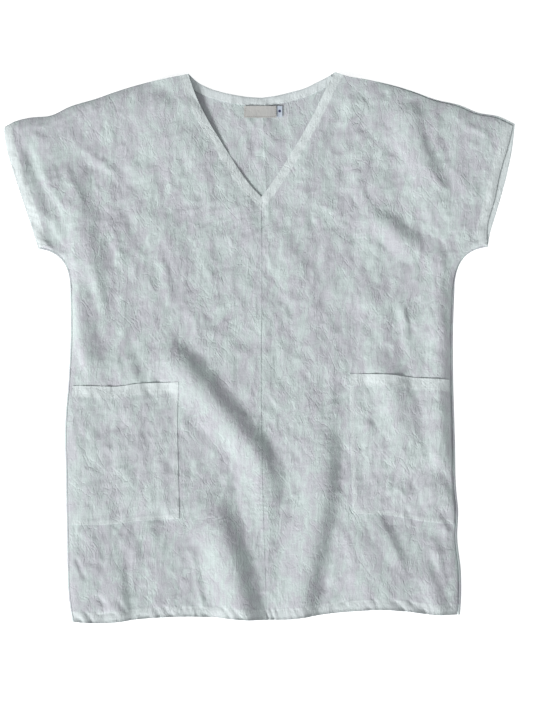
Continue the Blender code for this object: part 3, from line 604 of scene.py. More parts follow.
def grid_of(panel, rows, columns):
    """The panel's shares u and v where its rows and columns cross."""
    v_base = np.array([row.share for row in rows])
    u_base = np.array([column.share for column in columns])
    inner, outer = panel.sides(v_base)
    widths = np.linalg.norm(outer - inner, axis=1)[:, None]
    u_start = np.array([column.from_start for column in columns])[None, :]
    u_end = np.array([column.from_end for column in columns])[None, :]
    u = u_base[None, :] + u_start / widths - u_end / widths
    hem = np.zeros(len(columns))
    top = np.ones(len(columns))
    low_run = panel.at(u_base, hem + PROBE) - panel.at(u_base, hem)
    top_run = panel.at(u_base, top) - panel.at(u_base, top - PROBE)
    low_speed = np.linalg.norm(low_run, axis=1)[None, :] / PROBE
    top_speed = np.linalg.norm(top_run, axis=1)[None, :] / PROBE
    v_start = np.array([row.from_start for row in rows])[:, None]
    v_end = np.array([row.from_end for row in rows])[:, None]
    v = v_base[:, None] + v_start / low_speed - v_end / top_speed
    return u, v


def smooth_step(value):
    value = np.clip(value, 0.0, 1.0)
    return value * value * (3 - 2 * value)


def distance_to(line, across, up):
    """Distance from each point to the nearest point of a line."""
    flat_across = across.reshape(-1, 1)
    flat_up = up.reshape(-1, 1)
    reach = np.hypot(flat_across - line[:, 0], flat_up - line[:, 1]).min(axis=1)
    return reach.reshape(across.shape)


def add_fold(height, fold, across, up):
    """Adds one fold to the heights of the points that it reaches."""
    crest = smooth_curve(fold.crest, CREST_POINTS)
    reach = max(fold.right_width, fold.left_width)
    low = crest.min(axis=0) - reach
    high = crest.max(axis=0) + reach
    near = (across > low[0]) & (across < high[0]) & (up > low[1]) & (up < high[1])
    if not near.any():
        return
    heading = np.gradient(crest, axis=0)
    offset_across = across[near][:, None] - crest[:, 0]
    offset_up = up[near][:, None] - crest[:, 1]
    distance = np.hypot(offset_across, offset_up)
    nearest = distance.argmin(axis=1)
    pick = np.arange(len(nearest))
    turn = (heading[nearest, 0] * offset_up[pick, nearest]
            - heading[nearest, 1] * offset_across[pick, nearest])
    width = np.where(turn > 0, fold.left_width, fold.right_width)
    profile = 0.5 + 0.5 * np.cos(np.pi * np.clip(distance[pick, nearest] / width, 0.0, 1.0))
    along = nearest / (len(crest) - 1)
    rise = smooth_step(along / fold.rise) if fold.rise else 1.0
    die = smooth_step((1 - along) / fold.die) if fold.die else 1.0
    height[near] += fold.height * profile * rise * die


def fold_heights(folds, across, up):
    height = np.zeros_like(across)
    for fold in folds:
        add_fold(height, fold, across, up)
    return height


def lattice_noise(across, up, seed):
    """Smooth noise between about -1 and 1, with bumps one unit in size."""
    angle = np.random.default_rng(seed).uniform(0.0, 2 * np.pi, (LATTICE, LATTICE))
    column = np.floor(across).astype(int)
    row = np.floor(up).astype(int)
    right = across - column
    above = up - row
    total = np.zeros_like(across)
    for step_across in (0, 1):
        for step_up in (0, 1):
            turn = angle[(row + step_up) % LATTICE, (column + step_across) % LATTICE]
            offset_across = right - step_across
            offset_up = above - step_up
            weight = smooth_step(1 - np.abs(offset_across)) * smooth_step(1 - np.abs(offset_up))
            total += weight * (np.cos(turn) * offset_across + np.sin(turn) * offset_up)
    return total * 1.6


def crumple_height(table, across, up, seed):
    total = np.zeros_like(across)
    cell_across, cell_up = across / WARP_CELL[0], up / WARP_CELL[1]
    drift = WARP * lattice_noise(cell_across, cell_up, seed + 50)
    across = across + drift
    up = up + WARP * lattice_noise(cell_across + 0.4, cell_up + 0.7, seed + 51)
    for index, row in enumerate(table):
        turn = math.radians(row.turn)
        along = (across * math.cos(turn) + up * math.sin(turn)) / row.across
        over = (up * math.cos(turn) - across * math.sin(turn)) / row.up
        value = lattice_noise(along, over, seed + index)
        if row.sharp:
            value = 0.5 - np.sqrt(value * value + 0.0012) * 1.7
        total += row.height * value
    return total


def short_creases(seed):
    """Short creases scattered over the front, most of them near upright."""
    draw = np.random.default_rng(seed)
    creases = []
    for _ in range(SHORT_CREASES):
        across = draw.uniform(-0.34, 0.34)
        up = draw.uniform(0.02, 0.80)
        length = draw.uniform(*SHORT_LENGTH)
        turn = math.radians(draw.uniform(-SHORT_TURN, SHORT_TURN))
        width = draw.uniform(*SHORT_WIDTH)
        height = draw.uniform(*SHORT_HEIGHT) * draw.choice([-1.0, 1.0])
        bend = draw.uniform(-0.15, 0.15) * length
        run = np.array([math.sin(turn), -math.cos(turn)])
        start = np.array([across, up]) - run * length / 2
        middle = np.array([across, up]) + bend * np.array([-run[1], run[0]])
        end = np.array([across, up]) + run * length / 2
        creases.append(Fold([tuple(start), tuple(middle), tuple(end)], height, width, width, 0.5, 0.5))
    return creases


def neck_lift(across, up):
    """The front stands clear of the facing round both neck points."""
    lift = np.zeros_like(across)
    for side in ("right", "left"):
        point = FRONT_CORNERS[side].neck
        reach = np.hypot(across - point[0], up - point[1])
        fall = (NECK_LIFT_FAR - reach) / (NECK_LIFT_FAR - NECK_LIFT_NEAR)
        lift = np.maximum(lift, NECK_LIFT * smooth_step(fall))
    return lift


def puckers(run, to_edge, band, seed):
    """Slanting puckers over a stitched band, uneven along it."""
    drift = lattice_noise(run / 0.040, to_edge * 0.0 + 0.37, seed)
    size = np.clip(0.55 + 1.1 * lattice_noise(run / 0.030, to_edge * 0.0 + 0.61, seed + 1), 0.05, 1.0)
    phase = (run + PUCKER_SKEW * to_edge) / PUCKER_PITCH + 2.2 * drift
    pinch = np.exp(-(np.sin(np.pi * phase) / PUCKER_PINCH) ** 2)
    window = 1 - smooth_step((to_edge - band) / PUCKER_FADE)
    return -PUCKER_HEIGHT * size * pinch * window


class FrontSurface:
    """The outer surface of a front half, at any shares u and v of its panel."""

    def __init__(self, side):
        self.side = side
        self.panel = front_panel(side)
        self.creases = CREASES + short_creases(FRONT_SEED)

    def bands(self, u, v):
        """How far each point is in the hem's, the sleeve's and the neck's band."""
        panel = self.panel
        points = panel.at(u, v)
        inner, outer = panel.sides(v)
        to_side = (1 - u) * np.linalg.norm(outer - inner, axis=-1)
        to_hem = np.linalg.norm(panel.at(u, np.zeros_like(v)) - points, axis=-1)
        to_v = distance_to(panel.v_line, points[..., 0], points[..., 1])
        hem = 1 - smooth_step((to_hem - HEM_BAND) / BAND_STEP)
        sleeve = 1 - smooth_step((to_side - SLEEVE_BAND) / BAND_STEP)
        sleeve = np.where(v >= panel.marks[4] - 0.001, sleeve, 0.0)
        neck = 1 - smooth_step((to_v - NECK_BAND) / BAND_STEP)
        return hem, sleeve, neck, to_hem, to_side, to_v

    def at(self, u, v):
        panel = self.panel
        points = panel.at(u, v)
        across = points[..., 0]
        up = points[..., 1]
        inner, outer = panel.sides(v)
        hem, sleeve, neck, to_hem, to_side, to_v = self.bands(u, v)
        to_top = np.linalg.norm(panel.at(u, np.ones_like(v)) - points, axis=-1)
        edge = 1 - np.exp(-to_side / SIDE_ROLL[self.side])
        edge *= 1 - np.exp(-to_top / SHOULDER_ROLL[self.side])
        calm = 1 - HEM_FALL * np.exp(-to_hem / HEM_ROLL)
        folds = fold_heights(FOLDS, across, up)
        taut = FOLD_TAUT * np.clip(folds / FOLD_FULL, 0.0, 1.0)
        form = PUFF * calm + folds + fold_heights(self.creases, across, up) * (1 - taut)
        crumple = crumple_height(FRONT_CRUMPLE, across, up, FRONT_SEED + 10)
        form += crumple * (0.3 + 0.7 * calm) * (1 - taut)
        form *= 1 - V_FALL * np.exp(-to_v / V_ROLL)
        form = 0.5 * (form + np.sqrt(form**2 + SOFT_FLOOR**2))
        height = np.maximum(edge * form, neck_lift(across, up))
        from_neck = np.hypot(across - FRONT_CORNERS[self.side].neck[0], up - FRONT_CORNERS[self.side].neck[1])
        arch = smooth_step(from_neck / 0.030) * smooth_step((0.130 - from_neck) / 0.080)
        height += V_ARCH[self.side] * arch * np.exp(-(to_v / V_ARCH_REACH) ** 2)
        height += HEM_LIP * np.exp(-(to_hem / HEM_LIP_REACH) ** 2)
        height += puckers(across, to_hem, HEM_BAND, FRONT_SEED + 20) * (to_hem < 0.05)
        in_sleeve = v >= panel.marks[4] - 0.001
        height += 0.35 * puckers(up, to_side, SLEEVE_BAND, FRONT_SEED + 30) * in_sleeve * (to_side < 0.05)
        height += 0.30 * puckers(up, to_v, NECK_BAND, FRONT_SEED + 40) * (to_v < 0.03)
        groove = np.exp(-((to_hem - HEM_BAND + STITCH_IN) / GROOVE_WIDTH) ** 2)
        groove += np.exp(-((to_v - NECK_BAND + STITCH_IN) / GROOVE_WIDTH) ** 2)
        groove += in_sleeve * np.exp(-((to_side - SLEEVE_BAND + STITCH_IN) / GROOVE_WIDTH) ** 2)
        height -= GROOVE * groove
        to_seam = u * np.linalg.norm(outer - inner, axis=-1)
        below_v = smooth_step((panel.marks[5] - v) / 0.03)
        seam = SEAM_RIDGE if self.side == "right" else SEAM_DIP
        height += seam * np.exp(-to_seam / SEAM_REACH) * below_v
        height += BAND_RISE * np.maximum(np.maximum(hem, sleeve), neck)
        return np.concatenate([points, (FRONT_BASE + CAD_WALL + height)[..., None]], axis=-1)

    def layers(self, u, v):
        hem, sleeve, neck, _, _, _ = self.bands(u, v)
        return np.maximum(np.maximum(0.65 * hem, sleeve), neck)


def slope_share(points):
    """Upright thickness that gives a wall its true thickness on a slope."""
    along_row = np.gradient(points, axis=1)
    along_column = np.gradient(points, axis=0)
    normal = np.cross(along_row, along_column)
    return np.clip(np.linalg.norm(normal, axis=-1) / np.abs(normal[..., 2]), 1.0, 1.6)


def shell(name, low, high, material, layers=None):
    """A closed thin shell between two grids of points with the same rows and columns."""
    rows, columns = low.shape[:2]
    lift = rows * columns
    vertices = np.concatenate([low.reshape(-1, 3), high.reshape(-1, 3)])
    vertices[:, 0] -= MIDDLE[0]
    vertices[:, 1] -= MIDDLE[1]
    index = np.arange(lift).reshape(rows, columns)
    a, b, c, d = index[:-1, :-1], index[:-1, 1:], index[1:, 1:], index[1:, :-1]
    under = np.stack([a, d, c, b], axis=-1).reshape(-1, 4)
    over = np.stack([a, b, c, d], axis=-1).reshape(-1, 4) + lift
    rim = np.concatenate([index[0, :-1], index[:-1, -1], index[-1, :0:-1], index[:0:-1, 0]])
    there = np.roll(rim, -1)
    wall = np.stack([rim, there, there + lift, rim + lift], axis=-1)
    faces = np.concatenate([under, over, wall])
    turn = np.cross(low[0, 1] - low[0, 0], low[1, 0] - low[0, 0])[2]
    if turn < 0:
        faces = faces[:, ::-1]
    mesh = bpy.data.meshes.new(name)
    mesh.from_pydata(vertices.tolist(), [], faces.tolist())
    mesh.materials.append(material)
    mesh.shade_smooth()
    mesh.set_sharp_from_angle(angle=SHARP_ANGLE)
    depth = np.zeros((rows, columns)) if layers is None else layers
    attribute = mesh.attributes.new("layers", "FLOAT", "POINT")
    attribute.data.foreach_set("value", np.tile(depth.reshape(-1), 2).astype(np.float32))
    item = bpy.data.objects.new(name, mesh)
    bpy.context.scene.collection.objects.link(item)
    return item


def band_lines(band):
    """Distances from an edge that follow its band and the groove of its stitches."""
    stitch = band - STITCH_IN
    return [0.0, 0.0010, 0.0025, 0.0050, 0.0078, stitch - 0.0013, stitch, stitch + 0.0013, stitch + 0.0028,
            band + BAND_STEP]


def front_grid(surface):
    """Rows and columns of a front half, with the lines that its pocket keeps to."""
    panel = surface.panel
    side = surface.side
    pocket = POCKETS[side]
    _, low, top, side_top, sleeve_low, v_point, _ = panel.marks
    band = POCKET_BAND / panel.inner.length
    step = BAND_STEP / panel.inner.length
    hem_share = (HEM_BAND + BAND_STEP) / panel.inner.length
    tip = v_point - TIP_REACH / panel.inner.length
    counts = FRONT_ROWS
    rows = [past(distance) for distance in band_lines(HEM_BAND)]
    rows += stretch(hem_share, low, counts.to_pocket)
    low_row = len(rows) - 1
    rows += [share(low + distance / panel.inner.length) for distance in POCKET_LINES]
    rows += stretch(low + POCKET_REACH / panel.inner.length, top - band - step, counts.pocket)
    rows += stretch(top - band - step, top - band, 2)
    rows += stretch(top - band, top, 7)
    top_row = len(rows) - 1
    rows += stretch(top, side_top, counts.to_side_top)
    rows += stretch(side_top, sleeve_low, counts.underarm)
    rows += stretch(sleeve_low, tip, counts.to_tip)
    rows += stretch(tip, v_point, counts.tip)
    rows += stretch(v_point, 1.0, counts.neck)
    reach = abs(FRONT_CORNERS[side].side_top[0])
    centre_share = FRONT_CENTRE_REACH / reach
    pocket_share = pocket.across / reach
    inner_share = pocket_share + POCKET_REACH / reach
    sleeve_share = 1 - (SLEEVE_BAND + BAND_STEP) / reach
    columns = [past(distance) for distance in np.linspace(0.0, FRONT_CENTRE_REACH, FRONT_CENTRE_COLUMNS)]
    columns += stretch(centre_share, pocket_share, COLUMNS_TO_POCKET)
    inner_column = len(columns) - 1
    columns += [share(pocket_share + distance / reach) for distance in POCKET_LINES]
    columns += stretch(inner_share, sleeve_share, COLUMNS_TO_SLEEVE_BAND)[:-1]
    columns += [before(distance) for distance in reversed(band_lines(SLEEVE_BAND))]
    return rows, columns, low_row, top_row, inner_column


def build_front(side, materials):
    surface = FrontSurface(side)
    rows, columns, low_row, top_row, inner_column = front_grid(surface)
    u, v = grid_of(surface.panel, rows, columns)
    top = surface.at(u, v)
    thickness = CLOTH + BAND_RISE * surface.layers(u, v)
    low = top.copy()
    low[..., 2] -= thickness * slope_share(top)
    front = shell("front_" + side + "_cloth", low, top, materials["linen"], surface.layers(u, v))
    pocket, pocket_runs = build_pocket(side, top, low_row, top_row, inner_column, materials)
    return surface, front, pocket, pocket_runs


def build_pocket(side, front_top, low_row, top_row, inner_column, materials):
    """A patch pocket made from the front's own points, moved out."""
    low = front_top[low_row:top_row + 1, inner_column:-POCKETS[side].margin_columns].copy()
    rows, columns = low.shape[:2]
    across = low[..., 0]
    up = low[..., 1]
    from_low = np.linalg.norm(low - low[:1], axis=-1)
    from_inner = np.linalg.norm(low - low[:, :1], axis=-1)
    from_outer = np.linalg.norm(low - low[:, -1:], axis=-1)
    from_top = np.linalg.norm(low - low[-1:], axis=-1)
    sewn = smooth_step(from_low / 0.045) * smooth_step(from_inner / 0.040) * smooth_step(from_outer / 0.030)
    mouth = 1 - 0.8 * (1 - smooth_step(from_top / 0.050))
    puff = POCKET_PUFF * sewn * mouth
    puff += np.clip(crumple_height(POCKET_CRUMPLE, across, up, POCKET_SEED) + 0.0003, 0.0, 0.002) * (0.15 + 0.85 * sewn)
    low[..., 2] += 0.0001 + puff
    in_band = 1 - smooth_step((from_top - POCKET_BAND) / BAND_STEP)
    from_seam = np.minimum(from_low, from_inner)
    groove = np.exp(-((from_seam - POCKET_STITCH) / GROOVE_WIDTH) ** 2)
    groove += np.exp(-((from_top - POCKET_BAND + STITCH_IN) / GROOVE_WIDTH) ** 2)
    edge_fall = POCKET_EDGE_FALL * np.exp(-(from_seam / 0.0011) ** 2)
    turned_in = 1 - smooth_step((from_seam - POCKET_TURNING) / BAND_STEP)
    band_pucker = 0.5 * puckers(across, from_top, POCKET_BAND, POCKET_SEED + 5) * (from_top < 0.03)
    top = low.copy()
    thickness = POCKET_CLOTH + np.maximum(0.5 * BAND_RISE * in_band, POCKET_TURNING_RISE * turned_in)
    top[..., 2] += thickness * slope_share(low)
    top[..., 2] += np.maximum(band_pucker - edge_fall - POCKET_GROOVE * groove, -0.0004)
    layers = 0.12 + np.maximum(0.78 * in_band, 0.55 * turned_in)
    item = shell("pocket_" + side + "_cloth", low, top, materials["linen"], layers)
    near = POCKET_LINES.index(POCKET_STITCH) + 1
    band = int(np.argmin(np.abs(from_top[:, columns // 2] - POCKET_BAND + STITCH_IN)))
    runs = [top[near:, near], top[near, near:], top[band, near:]]
    return item, runs


def back_lift(across, up, to_side, to_top, to_hem, seed):
    """Height of the back's underside above what it lies on."""
    edge = (1 - np.exp(-to_side / BACK_ROLL)) * (1 - np.exp(-to_top / BACK_ROLL))
    edge *= 1 - np.exp(-to_hem / BACK_ROLL)
    form = BACK_LOFT + fold_heights(BACK_CREASES, across, up)
    crumple = crumple_height(BACK_CRUMPLE, across, up, seed)
    half_width = NECK_SLOPE * (up - V_POINT[1]) - np.abs(across - V_POINT[0])
    free = smooth_step((half_width - 0.008) / 0.022)
    form = np.clip(form + crumple, 0.0, BACK_LIMIT) + free * NECK_FREEDOM * (crumple + 0.0006)
    return edge * np.maximum(form, 0.0)


def build_back(side, materials):
    panel = back_panel(side)
    front = FRONT_CORNERS[side]
    back = BACK_CORNERS[side]
    rim = abs(back.side_top[0] - front.side_top[0]) - RIM_CLEARANCE
    _, side_top, sleeve_low, _ = panel.marks
    rows = [past(distance) for distance in np.linspace(0.0, HEM_BAND, 6)] + [past(HEM_BAND + BAND_STEP)]
    rows += stretch((HEM_BAND + BAND_STEP) / panel.inner.length, side_top, BACK_SIDE_ROWS)
    rows += stretch(side_top, sleeve_low, BACK_UNDERARM_ROWS)
    rows += stretch(sleeve_low, 1.0 - 0.008 / 0.21, BACK_SLEEVE_ROWS)
    rows += [before(distance) for distance in (0.0068, 0.0045, SHOULDER_RIM + 0.0006, SHOULDER_RIM, 0.0005)]
    rows += [share(1.0)]
    neck_share = panel.top.joints[1] / panel.top.length
    columns = [share(0.0), past(0.0008), past(0.0020)]
    columns += stretch(0.0030 / 0.29, neck_share, NECK_COLUMNS)
    columns += stretch(neck_share, 1.0 - (SLEEVE_BAND + BAND_STEP) / 0.29, SHOULDER_COLUMNS)[:-1]
    columns += [before(SLEEVE_BAND + BAND_STEP), before(SLEEVE_BAND), before(0.009), before(0.006)]
    columns += [before(rim + 0.0006), before(rim), before(rim * 0.5), share(1.0)]
    u, v = grid_of(panel, rows, columns)
    plan = panel.at(u, v)
    inner, outer = panel.sides(v)
    to_side = (1 - u) * np.linalg.norm(outer - inner, axis=-1)
    to_seam = u * np.linalg.norm(outer - inner, axis=-1)
    to_hem = np.linalg.norm(panel.at(u, np.zeros_like(v)) - plan, axis=-1)
    to_top = np.linalg.norm(panel.at(u, np.ones_like(v)) - plan, axis=-1)
    lift = back_lift(plan[..., 0], plan[..., 1], to_side, to_top, to_hem, BACK_SEED)
    lift += 0.0004 * np.exp(-to_seam / 0.0016) * smooth_step(to_top / 0.01) * smooth_step(to_hem / 0.02)
    low = np.dstack([plan, lift])
    high = low.copy()
    hem = 1 - smooth_step((to_hem - HEM_BAND) / BAND_STEP)
    sleeve = np.where(v >= sleeve_low - 0.001, 1 - smooth_step((to_side - SLEEVE_BAND) / BAND_STEP), 0.0)
    high[..., 2] += CLOTH * np.minimum(slope_share(low), 1.2)
    high[..., 2] = np.maximum(high[..., 2], BACK_TOP * (1 - np.clip(to_side / 0.02, 0.0, 1.0)))
    high[..., 2] -= EDGE_ROUND * np.exp(-(np.minimum(to_side, to_top) / EDGE_ROUND_REACH) ** 2)
    rim_profile = np.interp(to_side, [0.0, rim, rim + 0.0006], [0.0, 1.0, 0.0])
    side_row = v <= side_top
    high[..., 2] += RIM_RISE[side] * rim_profile * side_row
    if side == "left":
        rim_profile = np.interp(to_top, [0.0, SHOULDER_RIM * 0.5, SHOULDER_RIM, SHOULDER_RIM + 0.0006],
                                [0.35, 0.9, 1.0, 0.0])
        on_shoulder = smooth_step((u - neck_share - 0.015) / 0.03) * smooth_step((1 - u) / 0.02)
        scallop = 0.75 + 0.5 * lattice_noise(u * 22.0, to_top * 0.0 + 0.3, BACK_SEED + 9)
        high[..., 2] += SHOULDER_RISE * rim_profile * on_shoulder * np.clip(scallop, 0.3, 1.0)
    layers = np.maximum(hem, sleeve)
    return shell("back_" + side + "_cloth", low, high, materials["linen"], layers)


def scoop_line():
    """The back neck's edge as one line from the right neck point to the left."""
    right = back_panel("right").scoop[::-1]
    left = back_panel("left").scoop[1:]
    return np.concatenate([right, left])


def on_back(plan, scoop):
    """Height of the back's inner surface under points near the neck."""
    across = plan[..., 0]
    up = plan[..., 1]
    far = np.full_like(across, 0.3)
    to_top = distance_to(scoop, across, up)
    return back_lift(across, up, far, to_top, far, BACK_SEED) + CLOTH


def build_facing(scoop, materials):
    """The strip that faces the back neck inside."""
    strips = []
    for side in ("right", "left"):
        panel = back_panel(side)
        edge = panel.top.at(np.linspace(0.0, FACING_REACH, FACING_COLUMNS) * panel.top.joints[1])
        tangent = np.gradient(edge, axis=0)
        tangent /= np.linalg.norm(tangent, axis=1)[:, None]
        inward = side_sign(side) * np.column_stack([tangent[:, 1], -tangent[:, 0]])
        strips.append(np.stack([edge + inward * row.depth for row in FACING_ROWS]))
    plan = np.concatenate([strips[0][:, ::-1], strips[1][:, 1:]], axis=1)
    depth = np.array([row.depth for row in FACING_ROWS])[:, None] + plan[..., 0] * 0.0
    freedom = np.array([row.freedom for row in FACING_ROWS])[:, None]
    ripple = -FACING_RIPPLE * freedom * puckers(plan[..., 0], depth, 2 * FACING_WIDTH, FACING_SEED)
    low = np.dstack([plan, on_back(plan, scoop) + LAYER_GAP + ripple])
    high = low.copy()
    high[..., 2] += 0.0009
    high[-1, :, 2] -= 0.0003
    item = shell("neck_facing_cloth", low, high, materials["facing_linen"], np.ones(plan.shape[:2]))
    return item, high[FACING_STITCH_ROW]


def build_tag(name, corner, size, scoop, material, curl):
    """A woven tag whose loose lower edge curls up a little."""
    across = np.linspace(corner[0], corner[0] + size[0], 30)
    up = np.linspace(corner[1], corner[1] + size[1] - 0.0006, 14)
    grid_across, grid_up = np.meshgrid(across, up)
    plan = np.dstack([grid_across, grid_up])
    loose = np.clip(1 - (grid_up - corner[1]) / size[1], 0.0, 1.0)
    side = (grid_across - corner[0]) / size[0]
    wave = curl * loose**2 * (0.55 + 0.45 * np.cos(2 * np.pi * (side - 0.1)))
    base = on_back(plan, scoop).max() + LAYER_GAP + wave
    low = np.dstack([grid_across, grid_up, base])
    high = low.copy()
    high[..., 2] += LABEL_CLOTH
    border = np.concatenate([high[:0:-1, 1], high[1, 1:-1], high[1:, -2]])
    return shell(name, low, high, material), border


def stitch_run(points):
    """Middle and heading of each stitch along a line of points in space."""
    steps = np.linalg.norm(np.diff(points, axis=0), axis=1)
    distance = np.concatenate([[0.0], np.cumsum(steps)])
    starts = np.arange(STITCH_PITCH, distance[-1] - STITCH_PITCH, STITCH_PITCH)
    middle = np.stack([np.interp(starts + STITCH_LENGTH / 2, distance, points[:, axis])
                       for axis in range(3)], axis=1)
    ahead = np.stack([np.interp(starts + STITCH_LENGTH, distance, points[:, axis])
                      for axis in range(3)], axis=1)
    behind = np.stack([np.interp(starts, distance, points[:, axis]) for axis in range(3)], axis=1)
    return middle, ahead - behind


def stitches(name, runs, material):
    """All stitches of a piece as one mesh of short round-ended threads."""
    around = np.linspace(0.0, 2 * np.pi, 6, endpoint=False)
    rings = [(-0.5, 0.35), (-0.36, 1.0), (0.36, 1.0), (0.5, 0.35)]
    vertices = []
    faces = []
    for points in runs:
        middle, run = stitch_run(points)
        length = np.linalg.norm(run, axis=1)[:, None]
        heading = run / length
        side = np.cross(heading, [0.0, 0.0, 1.0])
        side /= np.linalg.norm(side, axis=1)[:, None]
        above = np.cross(side, heading)
        for spot in range(len(middle)):
            first = len(vertices)
            for along, size in rings:
                centre = middle[spot] + run[spot] * along
                for angle in around:
                    offset = side[spot] * math.cos(angle) + above[spot] * math.sin(angle)
                    vertices.append(centre + offset * STITCH_RADIUS * size)
            for ring in range(len(rings) - 1):
                for corner in range(6):
                    here = first + ring * 6 + corner
                    beside = first + ring * 6 + (corner + 1) % 6
                    faces.append((here, beside, beside + 6, here + 6))
            faces.append(tuple(first + corner for corner in range(5, -1, -1)))
            faces.append(tuple(first + 18 + corner for corner in range(6)))
    vertices = np.array(vertices)
    vertices[:, 0] -= MIDDLE[0]
    vertices[:, 1] -= MIDDLE[1]
    mesh = bpy.data.meshes.new(name)
    mesh.from_pydata(vertices.tolist(), [], faces)
    mesh.materials.append(material)
    mesh.shade_smooth()
    item = bpy.data.objects.new(name, mesh)
    bpy.context.scene.collection.objects.link(item)
    return item


def front_stitch_runs(surface):
    """Stitch lines of the hem, the sleeve hem and the neck band of a front half."""
    panel = surface.panel
    count = 320
    along = np.linspace(0.0, 1.0, count)
    runs = []
    hem_line = np.zeros(count)
    probe = np.linalg.norm(panel.at(along, hem_line + PROBE) - panel.at(along, hem_line), axis=1) / PROBE
    runs.append(surface.at(along, (HEM_BAND - STITCH_IN) / probe))
    v = np.linspace(panel.marks[4] + 0.004, 1.0, count)
    inner, outer = panel.sides(v)
    width = np.linalg.norm(outer - inner, axis=1)
    runs.append(surface.at(1 - (SLEEVE_BAND - STITCH_IN) / width, v))
    v = np.linspace(panel.marks[5] - TIP_REACH * 0.55 / panel.inner.length, 0.995, count)
    inner, outer = panel.sides(v)
    width = np.linalg.norm(outer - inner, axis=1)
    target = NECK_BAND - STITCH_IN
    u = target / width
    for _ in range(6):
        points = panel.at(u, v)
        u = np.clip(u + (target - distance_to(panel.v_line, points[:, 0], points[:, 1])) / width, 0.0, 1.0)
    kept = u > 0.001
    runs.append(surface.at(u[kept], v[kept]))
    return runs


def node_maker(tree):
    """A short way to add a node, set its values and link its inputs."""
    def add(kind, links=(), **values):
        node = tree.nodes.new(kind)
        for key, value in values.items():
            if key.startswith("in_"):
                node.inputs[int(key[3:])].default_value = value
            else:
                setattr(node, key, value)
        for socket, source in links:
            tree.links.new(source, node.inputs[socket])
        return node
    return add


Look = namedtuple("Look", "mint lilac layered contrast streak relief")

LOOKS = {
    "linen": Look((0.556, 0.630, 0.620, 1.0), (0.518, 0.528, 0.562, 1.0), (0.655, 0.712, 0.712, 1.0),
                  0.085, 0.10, 0.00042),
    "facing_linen": Look((0.675, 0.735, 0.735, 1.0), (0.640, 0.675, 0.695, 1.0), (0.690, 0.745, 0.752, 1.0),
                         0.090, 0.07, 0.00030),
    "label_cloth": Look((0.520, 0.518, 0.500, 1.0), (0.480, 0.480, 0.470, 1.0), (0.520, 0.518, 0.500, 1.0),
                        0.100, 0.07, 0.00015),
    "tab_cloth": Look((0.580, 0.640, 0.720, 1.0), (0.500, 0.560, 0.650, 1.0), (0.580, 0.640, 0.720, 1.0),
                      0.100, 0.04, 0.00010),
}
TAB_DOT = (0.0280, 0.7690)
TAB_DOT_SIZE = 0.0024
TAB_DOT_COLOUR = (0.045, 0.052, 0.120, 1.0)


def noise_of(add, place, stretch_by, detail, roughness):
    """A noise texture stretched along its axes."""
    spread = add("ShaderNodeVectorMath", [(0, place)], operation="MULTIPLY", in_1=stretch_by)
    node = add("ShaderNodeTexNoise", [("Vector", spread.outputs[0])])
    node.inputs["Scale"].default_value = 1.0
    node.inputs["Detail"].default_value = detail
    node.inputs["Roughness"].default_value = roughness
    return node.outputs["Fac"]


def ranged(add, value, old, new):
    """A value moved from one range to another."""
    node = add("ShaderNodeMapRange", [("Value", value)])
    node.inputs["From Min"].default_value = old[0]
    node.inputs["From Max"].default_value = old[1]
    node.inputs["To Min"].default_value = new[0]
    node.inputs["To Max"].default_value = new[1]
    return node.outputs["Result"]


def summed(add, parts):
    """Values added up, each with its own weight."""
    total = None
    for value, weight in parts:
        part = add("ShaderNodeMath", [(0, value)], operation="MULTIPLY", in_1=weight).outputs[0]
        if total is None:
            total = part
        else:
            total = add("ShaderNodeMath", [(0, total), (1, part)], operation="ADD").outputs[0]
    return total


# Fine sharp crease lines: turn in degrees, stretch, half width in noise, part shown, height
CreaseLines = namedtuple("CreaseLines", "turn across up width shown height")

CREASE_LINES = [
    CreaseLines(12.0, 84.0, 22.0, 0.032, 0.50, 0.72),
    CreaseLines(-32.0, 76.0, 24.0, 0.030, 0.51, -0.66),
    CreaseLines(44.0, 70.0, 28.0, 0.026, 0.55, 0.46),
]


def crease_lines(add, place, row):
    """Thin broken ridge lines, where a stretched noise passes its middle value."""
    turned = add("ShaderNodeVectorRotate", [("Vector", place)], rotation_type="Z_AXIS")
    turned.inputs["Angle"].default_value = math.radians(row.turn)
    value = noise_of(add, turned.outputs[0], (row.across, row.up, row.across), 2.0, 0.5)
    offset = add("ShaderNodeMath", [(0, value)], operation="SUBTRACT", in_1=0.5)
    away = add("ShaderNodeMath", [(0, offset.outputs[0])], operation="ABSOLUTE").outputs[0]
    line = ranged(add, away, (0.0, row.width), (1.0, 0.0))
    spots = noise_of(add, turned.outputs[0], (31.0, 24.0, 31.0), 1.0, 0.5)
    shown = ranged(add, spots, (row.shown - 0.06, row.shown + 0.06), (0.0, 1.0))
    return add("ShaderNodeMath", [(0, line), (1, shown)], operation="MULTIPLY").outputs[0]


